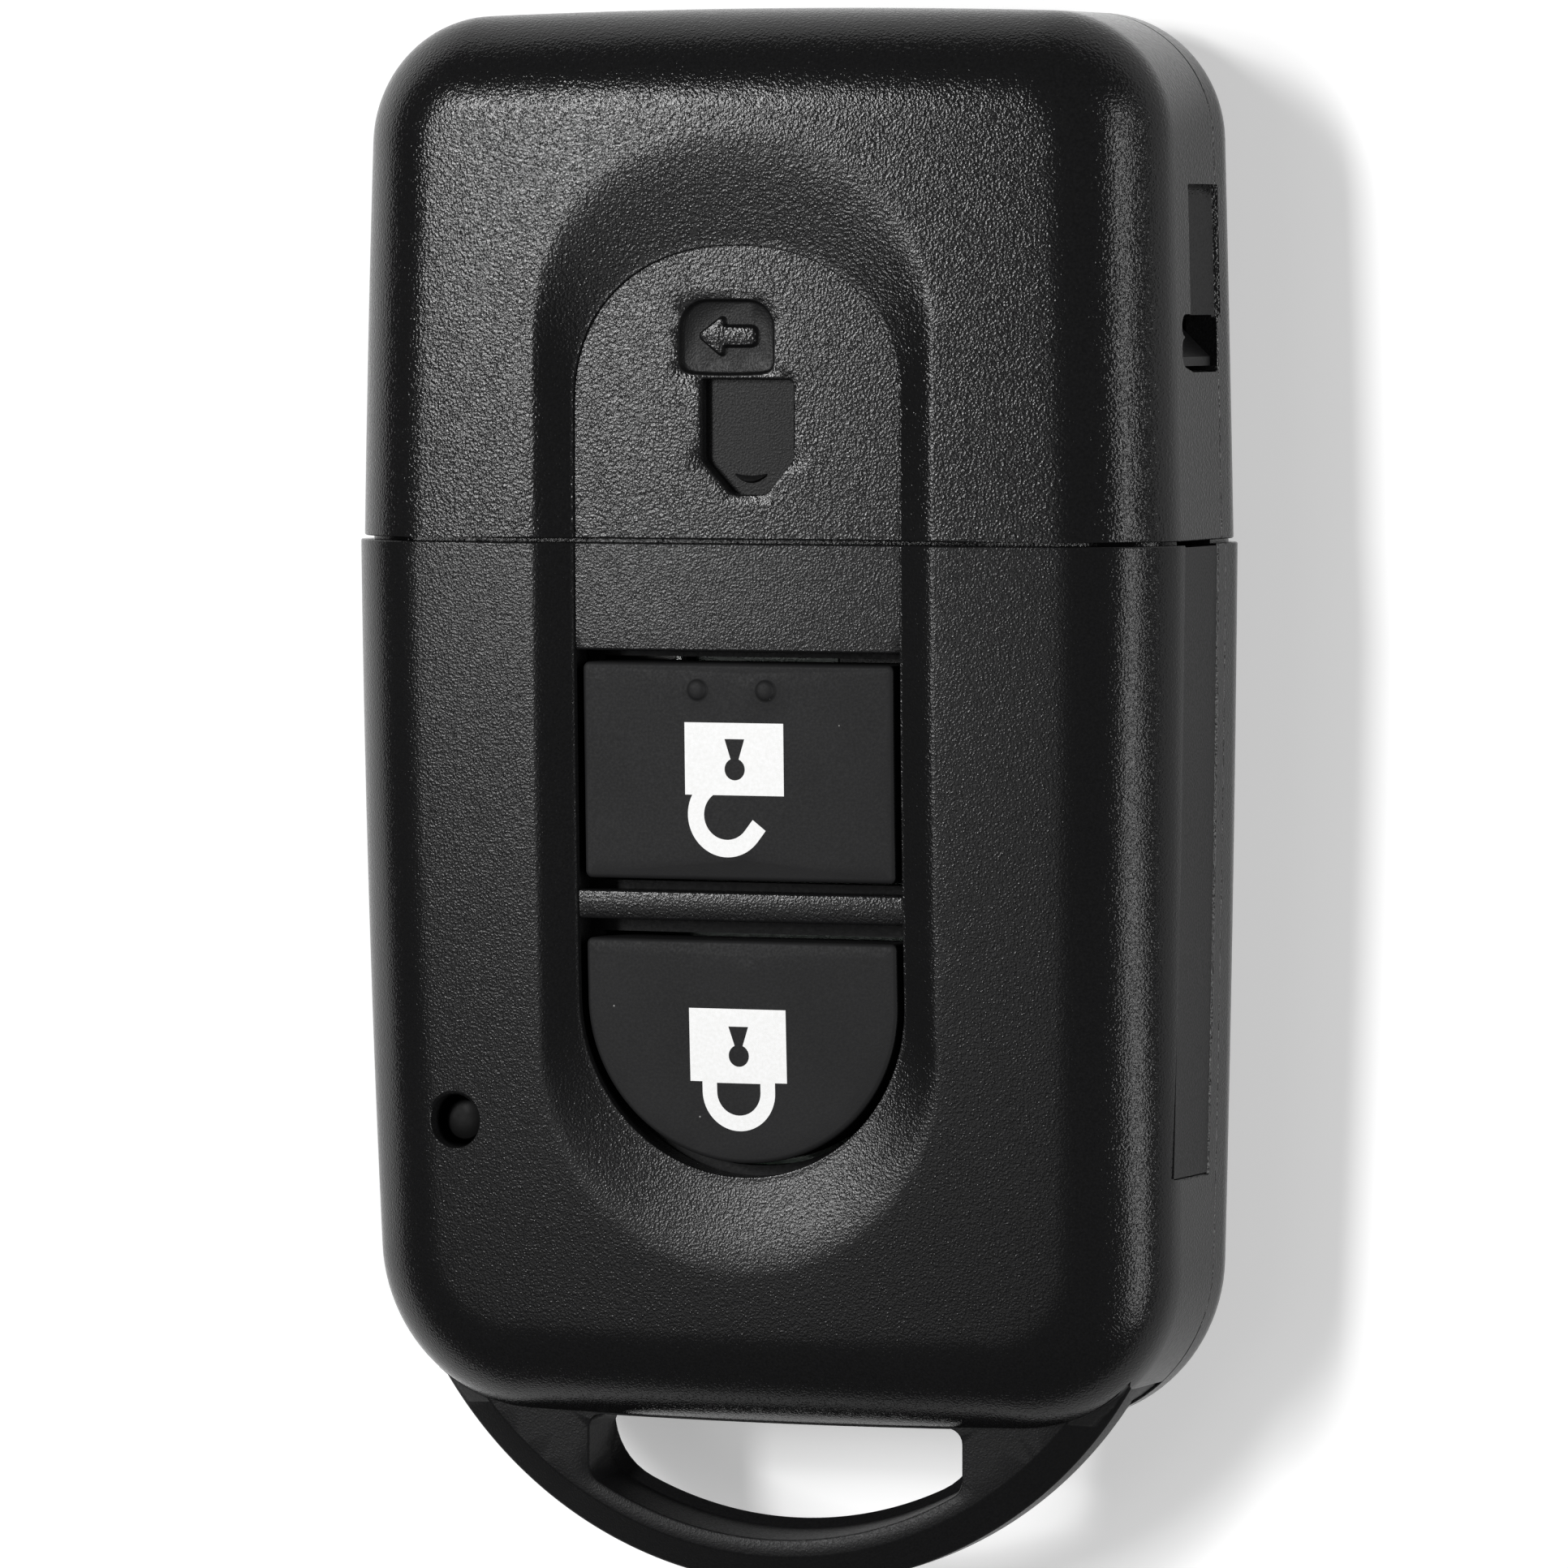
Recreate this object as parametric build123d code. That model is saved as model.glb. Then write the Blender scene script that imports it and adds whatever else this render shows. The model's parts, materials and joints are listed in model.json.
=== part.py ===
"""Two-button car key fob: a body with silicone keys and a pull-off cap that carries the emergency blade.

The fob lies on its back. +Z is its front face, +Y points to the cap's end, +X to its right side.
The origin is the middle of the bounding box's bottom face. Sizes are in millimetres.
"""
import os
from math import asin, degrees, sqrt

from build123d import *

# Overall form
PARTING_Y = 11.7             # middle of the gap between cap and body
PARTING_GAP = 0.25
BODY_HALF_WIDTH = 19.9       # at the gap
BODY_END_HALF_WIDTH = 19.1   # where the side would meet the bottom edge
BODY_END_Y = -28.15
BODY_CORNER_R = 7.6
CAP_HALF_WIDTH = 19.78       # at the gap
CAP_END_HALF_WIDTH = 19.1
CAP_END_Y = 35.45
CAP_CORNER_R = 5.8
END_BOW = 0.42               # how far each end edge bows out in its middle
BODY_SIDE_BOW = 0.14         # how far the sides bow out
CAP_SIDE_BOW = 0.04
OVERRUN = 6.0                # a casing's blank runs this far past the gap before it is cut

# Front surface: a shallow crown along Y
CROWN_Z = 13.85
CROWN_Y = 15.0
CROWN_R = 500.0
FRONT_ROUND = 4.5
REAR_ROUND = 3.0

# Mouldings
WALL = 1.5
FLOOR_Z = 1.3
ROOF_DEPTH = 2.0             # inside of the front wall, under the crown
SEAM_Z = 4.0                 # front and rear mouldings meet here

# Dish and land on the front
RAMP_DEPTH = 0.6
LAND_DEPTH = 0.72
LAND_HALF_WIDTH = 7.84
LEDGE = 0.08                 # between the ramp's foot and the land
DISH_HALF_WIDTH = 9.7
ARCH_TOP_Y = 24.85
ARCH_SPRING_Y = 17.9
DISH_TOP_Y = 30.1
DISH_SPRING_Y = 20.7
LOWER_ARC_Y = -8.86          # centre of the lock window's lower arc
BRIM = 0.3                   # ramp cutters rise this far above the crown
ROUND_FULLNESS = 0.7071      # how far a round end's shoulders reach; more is squarer
ARCH_FULLNESS = 0.745
DISH_BOTTOM_Y = -21.2
DISH_LOWER_ARC_Y = -11.6

# Key windows and keys
UNLOCK_TOP_Y = 6.8
UNLOCK_BOTTOM_Y = -3.93
LOCK_TOP_Y = -5.24
KEY_SIDE_GAP = 0.33
KEY_END_GAP = 0.52
LOCK_TOP_GAP = 0.85
LOCK_ARC_GAP = 0.62
KEY_ROUND = 0.4
KEY_TRAVEL = 0.4
DOT_R = 0.45
DOT_X = (-1.87, 1.42)
DOT_Y = 5.1

# Stack inside the body, by height
CELL_Z = 2.0
CELL_R = 10.0
CELL_H = 2.5
CELL_X = -6.2
CELL_Y = -6.0
BOARD_Z = 5.6
BOARD_T = 0.8
SWITCH_H = 2.2
WEB_Z = 9.8
WEB_T = 0.7
WEB_GAP = 0.2                # between each key and the mat round it
FOOT_Z = 9.3                 # underside of each key's foot
UNLOCK_SWITCH_Y = 1.4
LOCK_SWITCH_Y = -10.6
SWITCH_SIDE = 5.2
PLUNGER_R = 1.5
PLUNGER_CLEARANCE = 0.1

# Chassis and its loop for the key ring
FRAME_Z = 4.6
FRAME_H = 3.4
ROOT_Z = 4.05                # underside of the loop's thick root
FRAME_LEFT_X = -16.9
FRAME_RIGHT_X = 16.0
FRAME_TOP_Y = 10.2
FRAME_BOTTOM_Y = -25.4
FRAME_WALL = 1.1
POST_R = 0.9
LOOP_Z = 5.85
LOOP_T = 2.9
LOOP_CENTRE_Y = -15.79
LOOP_R = 19.66
SLOT_R = 16.85
SLOT_HALF_WIDTH = 9.1
SLOT_TOP_Y = -27.95
LOOP_BEVEL = 0.8
ROOT_INSET = 0.1             # the loop's thick root ends this far inside the body's outline

# Neck that enters the cap
NECK_LEFT_X = -12.0
NECK_RIGHT_X = 15.2
NECK_END_Y = 18.4
NECK_Z = (1.75, 10.4)

# Key blade
BLADE_X = 10.0
BLADE_WIDTH = 8.0
BLADE_Z = 2.4
BLADE_T = 2.0
BLADE_TIP_Y = -25.0
BLADE_ROOT_Y = 19.4
TANG_WIDTH = 9.6
TANG_END_Y = 27.4
PIN_R = 1.0
PIN_Y = 23.6

# Latch bar on the right side
BAR_Z = (5.0, 9.2)
BAR_BOTTOM_Y = -16.4
BAR_DEPTH = 1.25
LEAF_X = (16.95, 17.75)
LEAF_BOTTOM_Y = 5.0
LEAF_TOP_Y = 21.5
NOSE_Y = (19.5, 20.9)
NOSE_Z = (4.3, 7.9)

# Cap's right side
WINDOW_Y = (19.3, 21.75)
WINDOW_Z_TOP = 8.5
RECESS_Y = (21.75, 27.6)
RECESS_Z = (3.6, 7.35)       # crosses the seam
RECESS_DEPTH = 1.35          # from the side at the gap
RECESS_WALL = 1.1            # behind and round it

# Lock slider
SHIELD_X = (-1.6, 2.77)
SHIELD_Y = (13.82, 15.4, 18.9)
SLIDER_X = (-3.6, 4.9)
SLIDER_Y = (12.9, 19.7)
SLIDER_Z = (11.4, 12.5)
SLIDER_TRAVEL = 1.5
ARM_Z = (9.9, 11.1)
ARM_Y = (19.0, 20.8)
LEG_X = (15.35, 16.5)
LEG_Z = 7.2
SPRING_START_X = -8.7
SPRING_Y = 16.3
SPRING_Z = 11.75
SPRING_R = 0.6
SPRING_WIRE_R = 0.13
SPRING_TURNS = 6

# Arrow pocket on the cap
POCKET_X = (-2.66, 1.82)
POCKET_Y = (19.23, 22.42)
POCKET_DEPTH = 0.28

# Indicator
LED_X = -14.0
LED_Y = -14.55
LED_HOLE_R = 1.2

FIT = 0.05                   # clearance between pieces that are fixed together


def crown_z(y, depth=0.0):
    """Height of the crown at y, or of the surface that lies depth under it."""
    r = CROWN_R - depth
    return CROWN_Z - CROWN_R + sqrt(r * r - (y - CROWN_Y) ** 2)


def crown_plane(y, depth=0.0):
    """Plane that touches the crown at y, sunk by depth, with its own y along the fob."""
    lean = degrees(asin((y - CROWN_Y) / CROWN_R))
    return Plane(origin=(0, y, crown_z(y, depth)), x_dir=(1, 0, 0), z_dir=(0, 0, 1)).rotated((-lean, 0, 0))


def box(x, y, z):
    """Block between two values on each axis."""
    size = (x[1] - x[0], y[1] - y[0], z[1] - z[0])
    return Pos((x[0] + x[1]) / 2, (y[0] + y[1]) / 2, (z[0] + z[1]) / 2) * Box(*size)


def upright(sketch, z):
    """Prism of a plan sketch between two heights."""
    return extrude(Pos(0, 0, z[0]) * sketch, z[1] - z[0], dir=(0, 0, 1))


def under_crown(depth, floor):
    """Everything between a floor and the surface that lies depth under the crown."""
    y0, y1 = -45.0, 45.0
    low, mid, high = [(y, crown_z(y, depth)) for y in (y0, 0.0, y1)]
    arc = ThreePointArc(low, mid, high)
    sides = Polyline(high, (y1, floor), (y0, floor), low)
    return extrude(Plane.YZ * make_face(Curve() + [arc, sides]), 25, both=True)


def outline(half_width, bow, end_half_width, end_y, corner_r, inset):
    """Plan of a casing from its end to a little past the gap, drawn in by inset."""
    way = 1 if end_y < PARTING_Y else -1
    start = PARTING_Y + way * OVERRUN
    peak = end_y + way * inset
    end = peak + way * END_BOW
    half = half_width - inset
    end_half = end_half_width - inset
    mid_x = (half + end_half) / 2 + bow
    mid_y = (start + end) / 2
    right = ThreePointArc((half, start), (mid_x, mid_y), (end_half, end))
    tail = ThreePointArc((end_half, end), (0, peak), (-end_half, end))
    left = ThreePointArc((-end_half, end), (-mid_x, mid_y), (-half, start))
    face = make_face(Curve() + [right, tail, left, Line((-half, start), (half, start))])
    corners = face.vertices().sort_by(lambda v: way * v.Y)[:2]
    return fillet(corners, corner_r - inset)


def body_outline(inset=0.0):
    return outline(BODY_HALF_WIDTH, BODY_SIDE_BOW, BODY_END_HALF_WIDTH, BODY_END_Y, BODY_CORNER_R, inset)


def cap_outline(inset=0.0):
    return outline(CAP_HALF_WIDTH, CAP_SIDE_BOW, CAP_END_HALF_WIDTH, CAP_END_Y, CAP_CORNER_R, inset)


def pod(plan, depth, floor, front_round, rear_round, open_end):
    """Blank under the crown with rounded front and rear edges; open_end, the low or high end in Y, stays square."""
    blank = upright(plan, (floor, 20)) & under_crown(depth, floor)
    for pick, radius in ((-1, front_round), (0, rear_round)):
        edges = blank.faces().sort_by(Axis.Z)[pick].edges().sort_by(Axis.Y)
        blank = fillet(edges[1:] if open_end == "low" else edges[:-1], radius)
    return blank


def moulding(plan, open_end):
    """Solid blank of a casing, cut off at the gap, and its cavity."""
    half_gap = PARTING_GAP / 2
    y = (-40, PARTING_Y - half_gap) if open_end == "high" else (PARTING_Y + half_gap, 40)
    outer = pod(plan(), 0, 0, FRONT_ROUND, REAR_ROUND, open_end) & box((-25, 25), y, (-1, 20))
    inner = pod(plan(WALL), ROOF_DEPTH, FLOOR_Z, FRONT_ROUND - WALL, REAR_ROUND - WALL, open_end)
    return outer, inner


def arch(half_width, spring_y, top_y, start_y, fullness=ROUND_FULLNESS):
    """Plan of a tongue with straight sides whose end, at top_y, is an arch."""
    way = 1 if top_y > start_y else -1
    shoulder = (half_width * ROUND_FULLNESS, spring_y + (top_y - spring_y) * fullness)
    sides = Polyline((-half_width, spring_y), (-half_width, start_y), (half_width, start_y), (half_width, spring_y))
    right = Spline((half_width, spring_y), shoulder, (0, top_y), tangents=[(0, way), (-1, 0)])
    left = Spline((0, top_y), (-shoulder[0], shoulder[1]), (-half_width, spring_y), tangents=[(-1, 0), (0, -way)])
    return make_face(Curve() + [sides, right, left])


def funnel(inner, outer, start_y, fullness=ROUND_FULLNESS):
    """Ramp cutter between two arches, each (half width, spring y, top y), laid on the crown near their end."""
    reach = 1 + BRIM / RAMP_DEPTH
    brim = [a + (b - a) * reach for a, b in zip(inner, outer)]
    y = outer[1]
    foot_plan = Pos(0, -y, 0) * arch(*inner, start_y, fullness)
    brim_plan = Pos(0, -y, 0) * arch(*brim, start_y, fullness)
    return loft([crown_plane(y, RAMP_DEPTH) * foot_plan, crown_plane(y, -BRIM) * brim_plan])


def follow_crown(profile, y0, y1):
    """Turns an upright cross-section about the crown's axis, from y0 to y1."""
    axis = Axis((0, CROWN_Y, CROWN_Z - CROWN_R), (-1, 0, 0))
    a0, a1 = [degrees(asin((y - CROWN_Y) / CROWN_R)) for y in (y0, y1)]
    start = Plane(origin=(0, CROWN_Y, 0), x_dir=(1, 0, 0), z_dir=(0, -1, 0)) * profile
    return revolve(start.rotate(axis, a0), axis, a1 - a0)


def dish_sides(y0, y1):
    """Ramp cutter along both sides of the land."""
    foot_z = CROWN_Z - RAMP_DEPTH
    brim_z = CROWN_Z + BRIM
    foot_x = LAND_HALF_WIDTH + LEDGE
    brim_x = foot_x + (DISH_HALF_WIDTH - foot_x) * (1 + BRIM / RAMP_DEPTH)
    profile = Polyline((-foot_x, foot_z), (foot_x, foot_z), (brim_x, brim_z), (-brim_x, brim_z), close=True)
    return follow_crown(make_face(profile), y0, y1)


def land_cut(plan):
    """Cutter that sinks a plan to the land's depth under the crown."""
    return upright(plan, (0, 20)) - under_crown(LAND_DEPTH, -1)


def land_end(spring_y, top_y, ledge=0.0):
    """Half width, spring and top of one round end of the land, grown by a ledge."""
    way = 1 if top_y > spring_y else -1
    return LAND_HALF_WIDTH + ledge, spring_y, top_y + way * ledge


def unlock_window(gap=0.0, end_gap=0.0):
    half = LAND_HALF_WIDTH - gap
    return Pos(0, (UNLOCK_TOP_Y + UNLOCK_BOTTOM_Y) / 2) * Rectangle(
        2 * half, UNLOCK_TOP_Y - UNLOCK_BOTTOM_Y - 2 * end_gap)


def lock_window(gap=0.0, top_gap=0.0, arc_gap=0.0):
    half = LAND_HALF_WIDTH - gap
    bottom = LOWER_ARC_Y - LAND_HALF_WIDTH + arc_gap
    return arch(half, LOWER_ARC_Y, bottom, LOCK_TOP_Y - top_gap)


def body_front_shell(outer, inner):
    shell = outer - inner
    for x, y in post_places():
        shell += (Pos(x, y, 10) * Cylinder(POST_R, 2 * (10 - FRAME_Z - FRAME_H))) & outer
    wall_block = box((LEAF_X[0] - 0.85, 25), (BAR_BOTTOM_Y - 1.4, 15), (SEAM_Z, BAR_Z[1] + 1.0))
    shell += wall_block & outer
    shell = shell & box((-25, 25), (-40, 40), (SEAM_Z, 20))
    bottom = (LOWER_ARC_Y, LOWER_ARC_Y - LAND_HALF_WIDTH)
    shell -= dish_sides(LOWER_ARC_Y, PARTING_Y + 1)
    shell -= funnel(land_end(*bottom, LEDGE), (DISH_HALF_WIDTH, DISH_LOWER_ARC_Y, DISH_BOTTOM_Y), LOWER_ARC_Y + 1)
    shell -= land_cut(arch(*land_end(*bottom), PARTING_Y + 1))
    shell -= upright(unlock_window(), (5, 20)) + upright(lock_window(), (5, 20))
    shell -= Pos(LED_X, LED_Y, 12) * Cylinder(LED_HOLE_R, 10)
    shell -= bar_channel()
    shell -= upright(root_plan(FIT), (SEAM_Z - 1, LOOP_Z + LOOP_T + FIT))
    return shell


def bar_channel():
    """Space that the latch bar needs in the right wall: its slot, and a pocket where its leaf flexes."""
    slot = box((BODY_HALF_WIDTH - BAR_DEPTH, 25), (BAR_BOTTOM_Y - FIT, 20), (BAR_Z[0] - FIT, BAR_Z[1] + FIT))
    pocket = box((LEAF_X[0] - 0.15, 25), (LEAF_BOTTOM_Y - FIT, 20), (BAR_Z[0] - FIT, BAR_Z[1] + FIT))
    return slot + pocket


def root_plan(gap=0.0):
    """The loop's round plate, from inside the end wall outwards."""
    disc = Pos(0, LOOP_CENTRE_Y) * Circle(LOOP_R + gap)
    return disc & Pos(0, FRAME_BOTTOM_Y + FRAME_WALL + gap - 10) * Rectangle(60, 20)


def post_places():
    """Middles of the four posts that clamp the chassis frame."""
    inset = POST_R + 0.05
    return [(x, y) for x in (FRAME_LEFT_X + inset, FRAME_RIGHT_X - inset)
            for y in (FRAME_BOTTOM_Y + 3.2, FRAME_TOP_Y - 1.4)]


def cell_cradle():
    ring = Pos(CELL_X, CELL_Y) * (Circle(CELL_R + 1.1) - Circle(CELL_R + 0.2))
    return upright(ring, (FLOOR_Z, FRAME_Z - 0.2))


def body_rear_shell(outer, inner):
    shell = (outer - inner) & box((-25, 25), (-40, 40), (-1, SEAM_Z))
    cradle = cell_cradle() - box((BLADE_X - BLADE_WIDTH / 2 - 0.7, 25), (-30, 30), (0, 10))
    posts = [Pos(x, y, (FLOOR_Z + FRAME_Z) / 2) * Cylinder(POST_R, FRAME_Z - FLOOR_Z) for x, y in post_places()]
    left = BLADE_X - BLADE_WIDTH / 2 - 0.1
    right = BLADE_X + BLADE_WIDTH / 2 + 0.1
    guide_y = (BLADE_TIP_Y - 1, FRAME_TOP_Y - 0.1)
    guides = [box(x, guide_y, (FLOOR_Z, SEAM_Z)) for x in ((left - 0.5, left), (right, right + 0.5))]
    bed = box((left - 0.2, right + 0.2), guide_y, (FLOOR_Z, BLADE_Z - FIT))
    for piece in [cradle, bed, *guides, *posts]:
        shell += piece
    return shell


def chassis(inner):
    """Frame round the board, with the loop at one end and the neck at the other."""
    size = (FRAME_RIGHT_X - FRAME_LEFT_X, FRAME_TOP_Y - FRAME_BOTTOM_Y)
    centre = Pos((FRAME_RIGHT_X + FRAME_LEFT_X) / 2, (FRAME_TOP_Y + FRAME_BOTTOM_Y) / 2)
    frame = centre * RectangleRounded(*size, 4)
    well = centre * RectangleRounded(size[0] - 2 * FRAME_WALL, size[1] - 2 * FRAME_WALL, 3)
    ledge = centre * RectangleRounded(size[0] - 4 * FRAME_WALL, size[1] - 4 * FRAME_WALL, 2)
    body = upright(frame, (FRAME_Z, FRAME_Z + FRAME_H))
    body -= upright(well, (BOARD_Z, 20)) + upright(ledge, (0, 20))
    loop = upright(root_plan(), (LOOP_Z, LOOP_Z + LOOP_T))
    loop = chamfer(loop.edges().filter_by(GeomType.CIRCLE), LOOP_BEVEL)
    root = upright(root_plan(), (ROOT_Z, LOOP_Z + LOOP_T)) & upright(body_outline(ROOT_INSET), (0, 20))
    body += [loop - slot_cutter(), root]
    end_wall = inner & box((-25, 25), (FRAME_TOP_Y, PARTING_Y - PARTING_GAP / 2 - 0.1), (0, 20))
    end_wall = end_wall & box((-17, 16.0), (0, 20), (FLOOR_Z + FIT, crown_z(PARTING_Y, ROOF_DEPTH) - FIT))
    neck = box((NECK_LEFT_X, NECK_RIGHT_X), (FRAME_TOP_Y, NECK_END_Y), NECK_Z)
    neck = fillet(neck.edges().filter_by(Axis.Y), 1.2)
    neck = chamfer(neck.faces().sort_by(Axis.Y)[-1].edges(), 0.5)
    body += [end_wall, neck]
    cell_room = Pos(CELL_X, CELL_Y, 0) * Cylinder(CELL_R + 0.2, 2 * (CELL_Z + CELL_H + 0.2))
    return body - blade_slot() - cell_room


def blade_slot():
    half = BLADE_WIDTH / 2 + 0.12
    z = (BLADE_Z - 0.12, BLADE_Z + BLADE_T + 0.12)
    return box((BLADE_X - half, BLADE_X + half), (BLADE_TIP_Y - 0.3, 40), z)


def slot_cutter():
    """Crescent slot for the key ring, with a wider front rim."""
    plan = Pos(0, LOOP_CENTRE_Y) * Circle(SLOT_R)
    plan &= Pos(0, SLOT_TOP_Y - 10) * Rectangle(2 * SLOT_HALF_WIDTH, 20)
    plan = fillet(plan.vertices(), 0.7)
    rim = offset(plan, 0.45)
    straight = upright(plan, (0, 20))
    top = LOOP_Z + LOOP_T
    mouth = loft([Pos(0, 0, top - 0.6) * plan, Pos(0, 0, top + 0.15) * rim])
    return straight + mouth


def keypad_web():
    """Silicone mat: a sheet with a skirt that stands on the board, and an opening round each key."""
    width = 22.4
    length = (-19.6, 8.9)
    centre = Pos(0, sum(length) / 2)
    plan = centre * RectangleRounded(width, length[1] - length[0], 3)
    hollow = centre * RectangleRounded(width - 2, length[1] - length[0] - 2, 2)
    mat = upright(plan, (BOARD_Z + BOARD_T, WEB_Z + WEB_T)) - upright(hollow, (0, WEB_Z))
    for plan in (unlock_key_plan(WEB_GAP), lock_key_plan(WEB_GAP)):
        mat -= upright(plan, (0, 20))
    return mat


def unlock_key_plan(grow=0.0):
    return unlock_window(KEY_SIDE_GAP - grow, KEY_END_GAP - grow)


def lock_key_plan(grow=0.0):
    return lock_window(KEY_SIDE_GAP - grow, LOCK_TOP_GAP - grow, LOCK_ARC_GAP - grow)


def key(plan, switch_y):
    """Silicone key: its cap follows the land, and a foot stands over the switch."""
    block = upright(plan, (WEB_Z, 20)) & under_crown(LAND_DEPTH, 0)
    top = block.faces().sort_by(Axis.Z)[-1]
    block = fillet(top.edges(), KEY_ROUND)
    foot = Pos(0, switch_y, (FOOT_Z + WEB_Z) / 2) * Cylinder(2.2, WEB_Z - FOOT_Z)
    return block + foot


def unlock_key():
    body = key(unlock_key_plan(), UNLOCK_SWITCH_Y)
    for x in DOT_X:
        body += Pos(x, DOT_Y, crown_z(DOT_Y, LAND_DEPTH) - 0.2) * Sphere(DOT_R)
    return body


def lock_key():
    return key(lock_key_plan(), LOCK_SWITCH_Y)


def switch(y):
    """Tactile switch with a well for its plunger."""
    top = BOARD_Z + BOARD_T + SWITCH_H
    base = box((-SWITCH_SIDE / 2, SWITCH_SIDE / 2), (y - SWITCH_SIDE / 2, y + SWITCH_SIDE / 2), (BOARD_Z + BOARD_T, top))
    base = chamfer(base.edges().filter_by(Axis.Z), 0.4)
    well = Pos(0, y, top) * Cylinder(PLUNGER_R + PLUNGER_CLEARANCE, 2 * (KEY_TRAVEL + 0.5))
    return base - well


def plunger(y):
    bottom = BOARD_Z + BOARD_T + SWITCH_H - 0.45
    return Pos(0, y, (bottom + FOOT_Z) / 2) * Cylinder(PLUNGER_R, FOOT_Z - bottom)


def circuit_board():
    margin = FRAME_WALL + 0.15
    x = (FRAME_LEFT_X + margin, FRAME_RIGHT_X - margin)
    y = (FRAME_BOTTOM_Y + margin, FRAME_TOP_Y - margin)
    centre = Pos(sum(x) / 2, sum(y) / 2)
    return upright(centre * RectangleRounded(x[1] - x[0], y[1] - y[0], 2.8), (BOARD_Z, BOARD_Z + BOARD_T))


def status_led():
    base = box((LED_X - 0.9, LED_X + 0.7), (LED_Y - 0.6, LED_Y + 0.6), (BOARD_Z + BOARD_T, BOARD_Z + BOARD_T + 0.4))
    return base + Pos(LED_X - 0.1, LED_Y, BOARD_Z + BOARD_T + 0.65) * Cylinder(0.5, 0.5)


def led_lens():
    """Light pipe from the board to the hole, held by a flange under the front wall."""
    roof = crown_z(LED_Y, ROOF_DEPTH)
    bottom = BOARD_Z + BOARD_T + 1.2
    top = crown_z(LED_Y) - 0.7
    pipe = Pos(LED_X, LED_Y, (bottom + top) / 2) * Cylinder(LED_HOLE_R - 0.08, top - bottom)
    flange = Pos(LED_X, LED_Y, roof - 0.5) * Cylinder(1.7, 0.7)
    return pipe + flange


def coin_cell():
    """Cell with its can's rounded edge and the narrower cap on its underside."""
    can = Pos(CELL_X, CELL_Y, CELL_Z + 1.4) * Cylinder(CELL_R, CELL_H - 0.3)
    can = fillet(can.edges().group_by(Axis.Z)[-1], 0.3)
    return can + Pos(CELL_X, CELL_Y, CELL_Z + 0.15) * Cylinder(CELL_R - 1.3, 0.3)


def contact_negative():
    """Leaf under the cell: a strip on the floor with a raised tongue."""
    strip = box((CELL_X - 7, CELL_X + 5), (CELL_Y - 1.5, CELL_Y + 1.5), (FLOOR_Z, FLOOR_Z + 0.2))
    tongue = Pos(CELL_X, CELL_Y, (FLOOR_Z + CELL_Z) / 2) * Cylinder(1.2, CELL_Z - FLOOR_Z)
    return strip + tongue


def contact_positive():
    """Leaf between the board and the top of the cell."""
    top = CELL_Z + CELL_H
    pad = box((CELL_X - 4, CELL_X + 4), (CELL_Y - 1.5, CELL_Y + 1.5), (BOARD_Z - 0.2, BOARD_Z))
    bend = box((CELL_X - 4, CELL_X - 3.75), (CELL_Y - 1.5, CELL_Y + 1.5), (top, BOARD_Z))
    foot = box((CELL_X - 4, CELL_X + 2.5), (CELL_Y - 1, CELL_Y + 1), (top, top + 0.25))
    return pad + bend + foot


def on_board(x, y, width, length, height, corner=0.2):
    """Electronic part that stands on the board."""
    block = Pos(x, y, BOARD_Z + BOARD_T + height / 2) * Box(width, length, height)
    return chamfer(block.edges().group_by(Axis.Z)[-1], corner)


def latch_bar():
    """Strip that lies flush in the right wall; its leaf rises inside the cap and hooks into the window."""
    side = upright(body_outline(FIT), (0, 20))
    strip = box((BODY_HALF_WIDTH - BAR_DEPTH, 25), (BAR_BOTTOM_Y, PARTING_Y - PARTING_GAP / 2 - FIT), BAR_Z)
    shank = box((LEAF_X[0], 25), (LEAF_BOTTOM_Y, PARTING_Y - PARTING_GAP / 2 - FIT), BAR_Z)
    leaf = box(LEAF_X, (LEAF_BOTTOM_Y, LEAF_TOP_Y), BAR_Z)
    nose_profile = Polyline((LEAF_X[0] + 0.3, NOSE_Y[0]), (19.2, NOSE_Y[0]), (19.2, NOSE_Y[0] + 0.4),
                            (LEAF_X[1], NOSE_Y[1] + 0.4), close=True)
    nose = upright(make_face(nose_profile), NOSE_Z)
    leaf -= box((0, 30), (NOSE_Y[0] - 1, 30), (0, NOSE_Z[0]))
    return ((strip + shank) & side) + leaf + nose


def cap_walls(outer, inner):
    """Walls of the cap, with a thicker wall that backs the recess in its right side."""
    floor_x = CAP_HALF_WIDTH - RECESS_DEPTH
    back_y = (RECESS_Y[0] - PARTING_GAP, RECESS_Y[1] + RECESS_WALL)
    back = box((floor_x - RECESS_WALL, 25), back_y, (RECESS_Z[0] - RECESS_WALL, RECESS_Z[1] + RECESS_WALL))
    recess = box((floor_x, 25), RECESS_Y, RECESS_Z)
    return outer - inner + (back & outer) - recess


def cap_front_shell(outer, inner):
    shell = cap_walls(outer, inner) & box((-25, 25), (-40, 40), (SEAM_Z, 20))
    top = (ARCH_SPRING_Y, ARCH_TOP_Y)
    dish = (DISH_HALF_WIDTH, DISH_SPRING_Y, DISH_TOP_Y)
    shell += slider_frame()
    shell -= funnel(land_end(*top, LEDGE), dish, PARTING_Y - OVERRUN, ARCH_FULLNESS)
    shell -= land_cut(arch(*land_end(*top), PARTING_Y - OVERRUN, ARCH_FULLNESS))
    shell -= upright(shield_plan(), (9, 20))
    shell -= slider_room()
    shell -= arrow_pocket()
    shell -= box((17.0, 25), WINDOW_Y, (SEAM_Z - 1, WINDOW_Z_TOP))
    return shell


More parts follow.
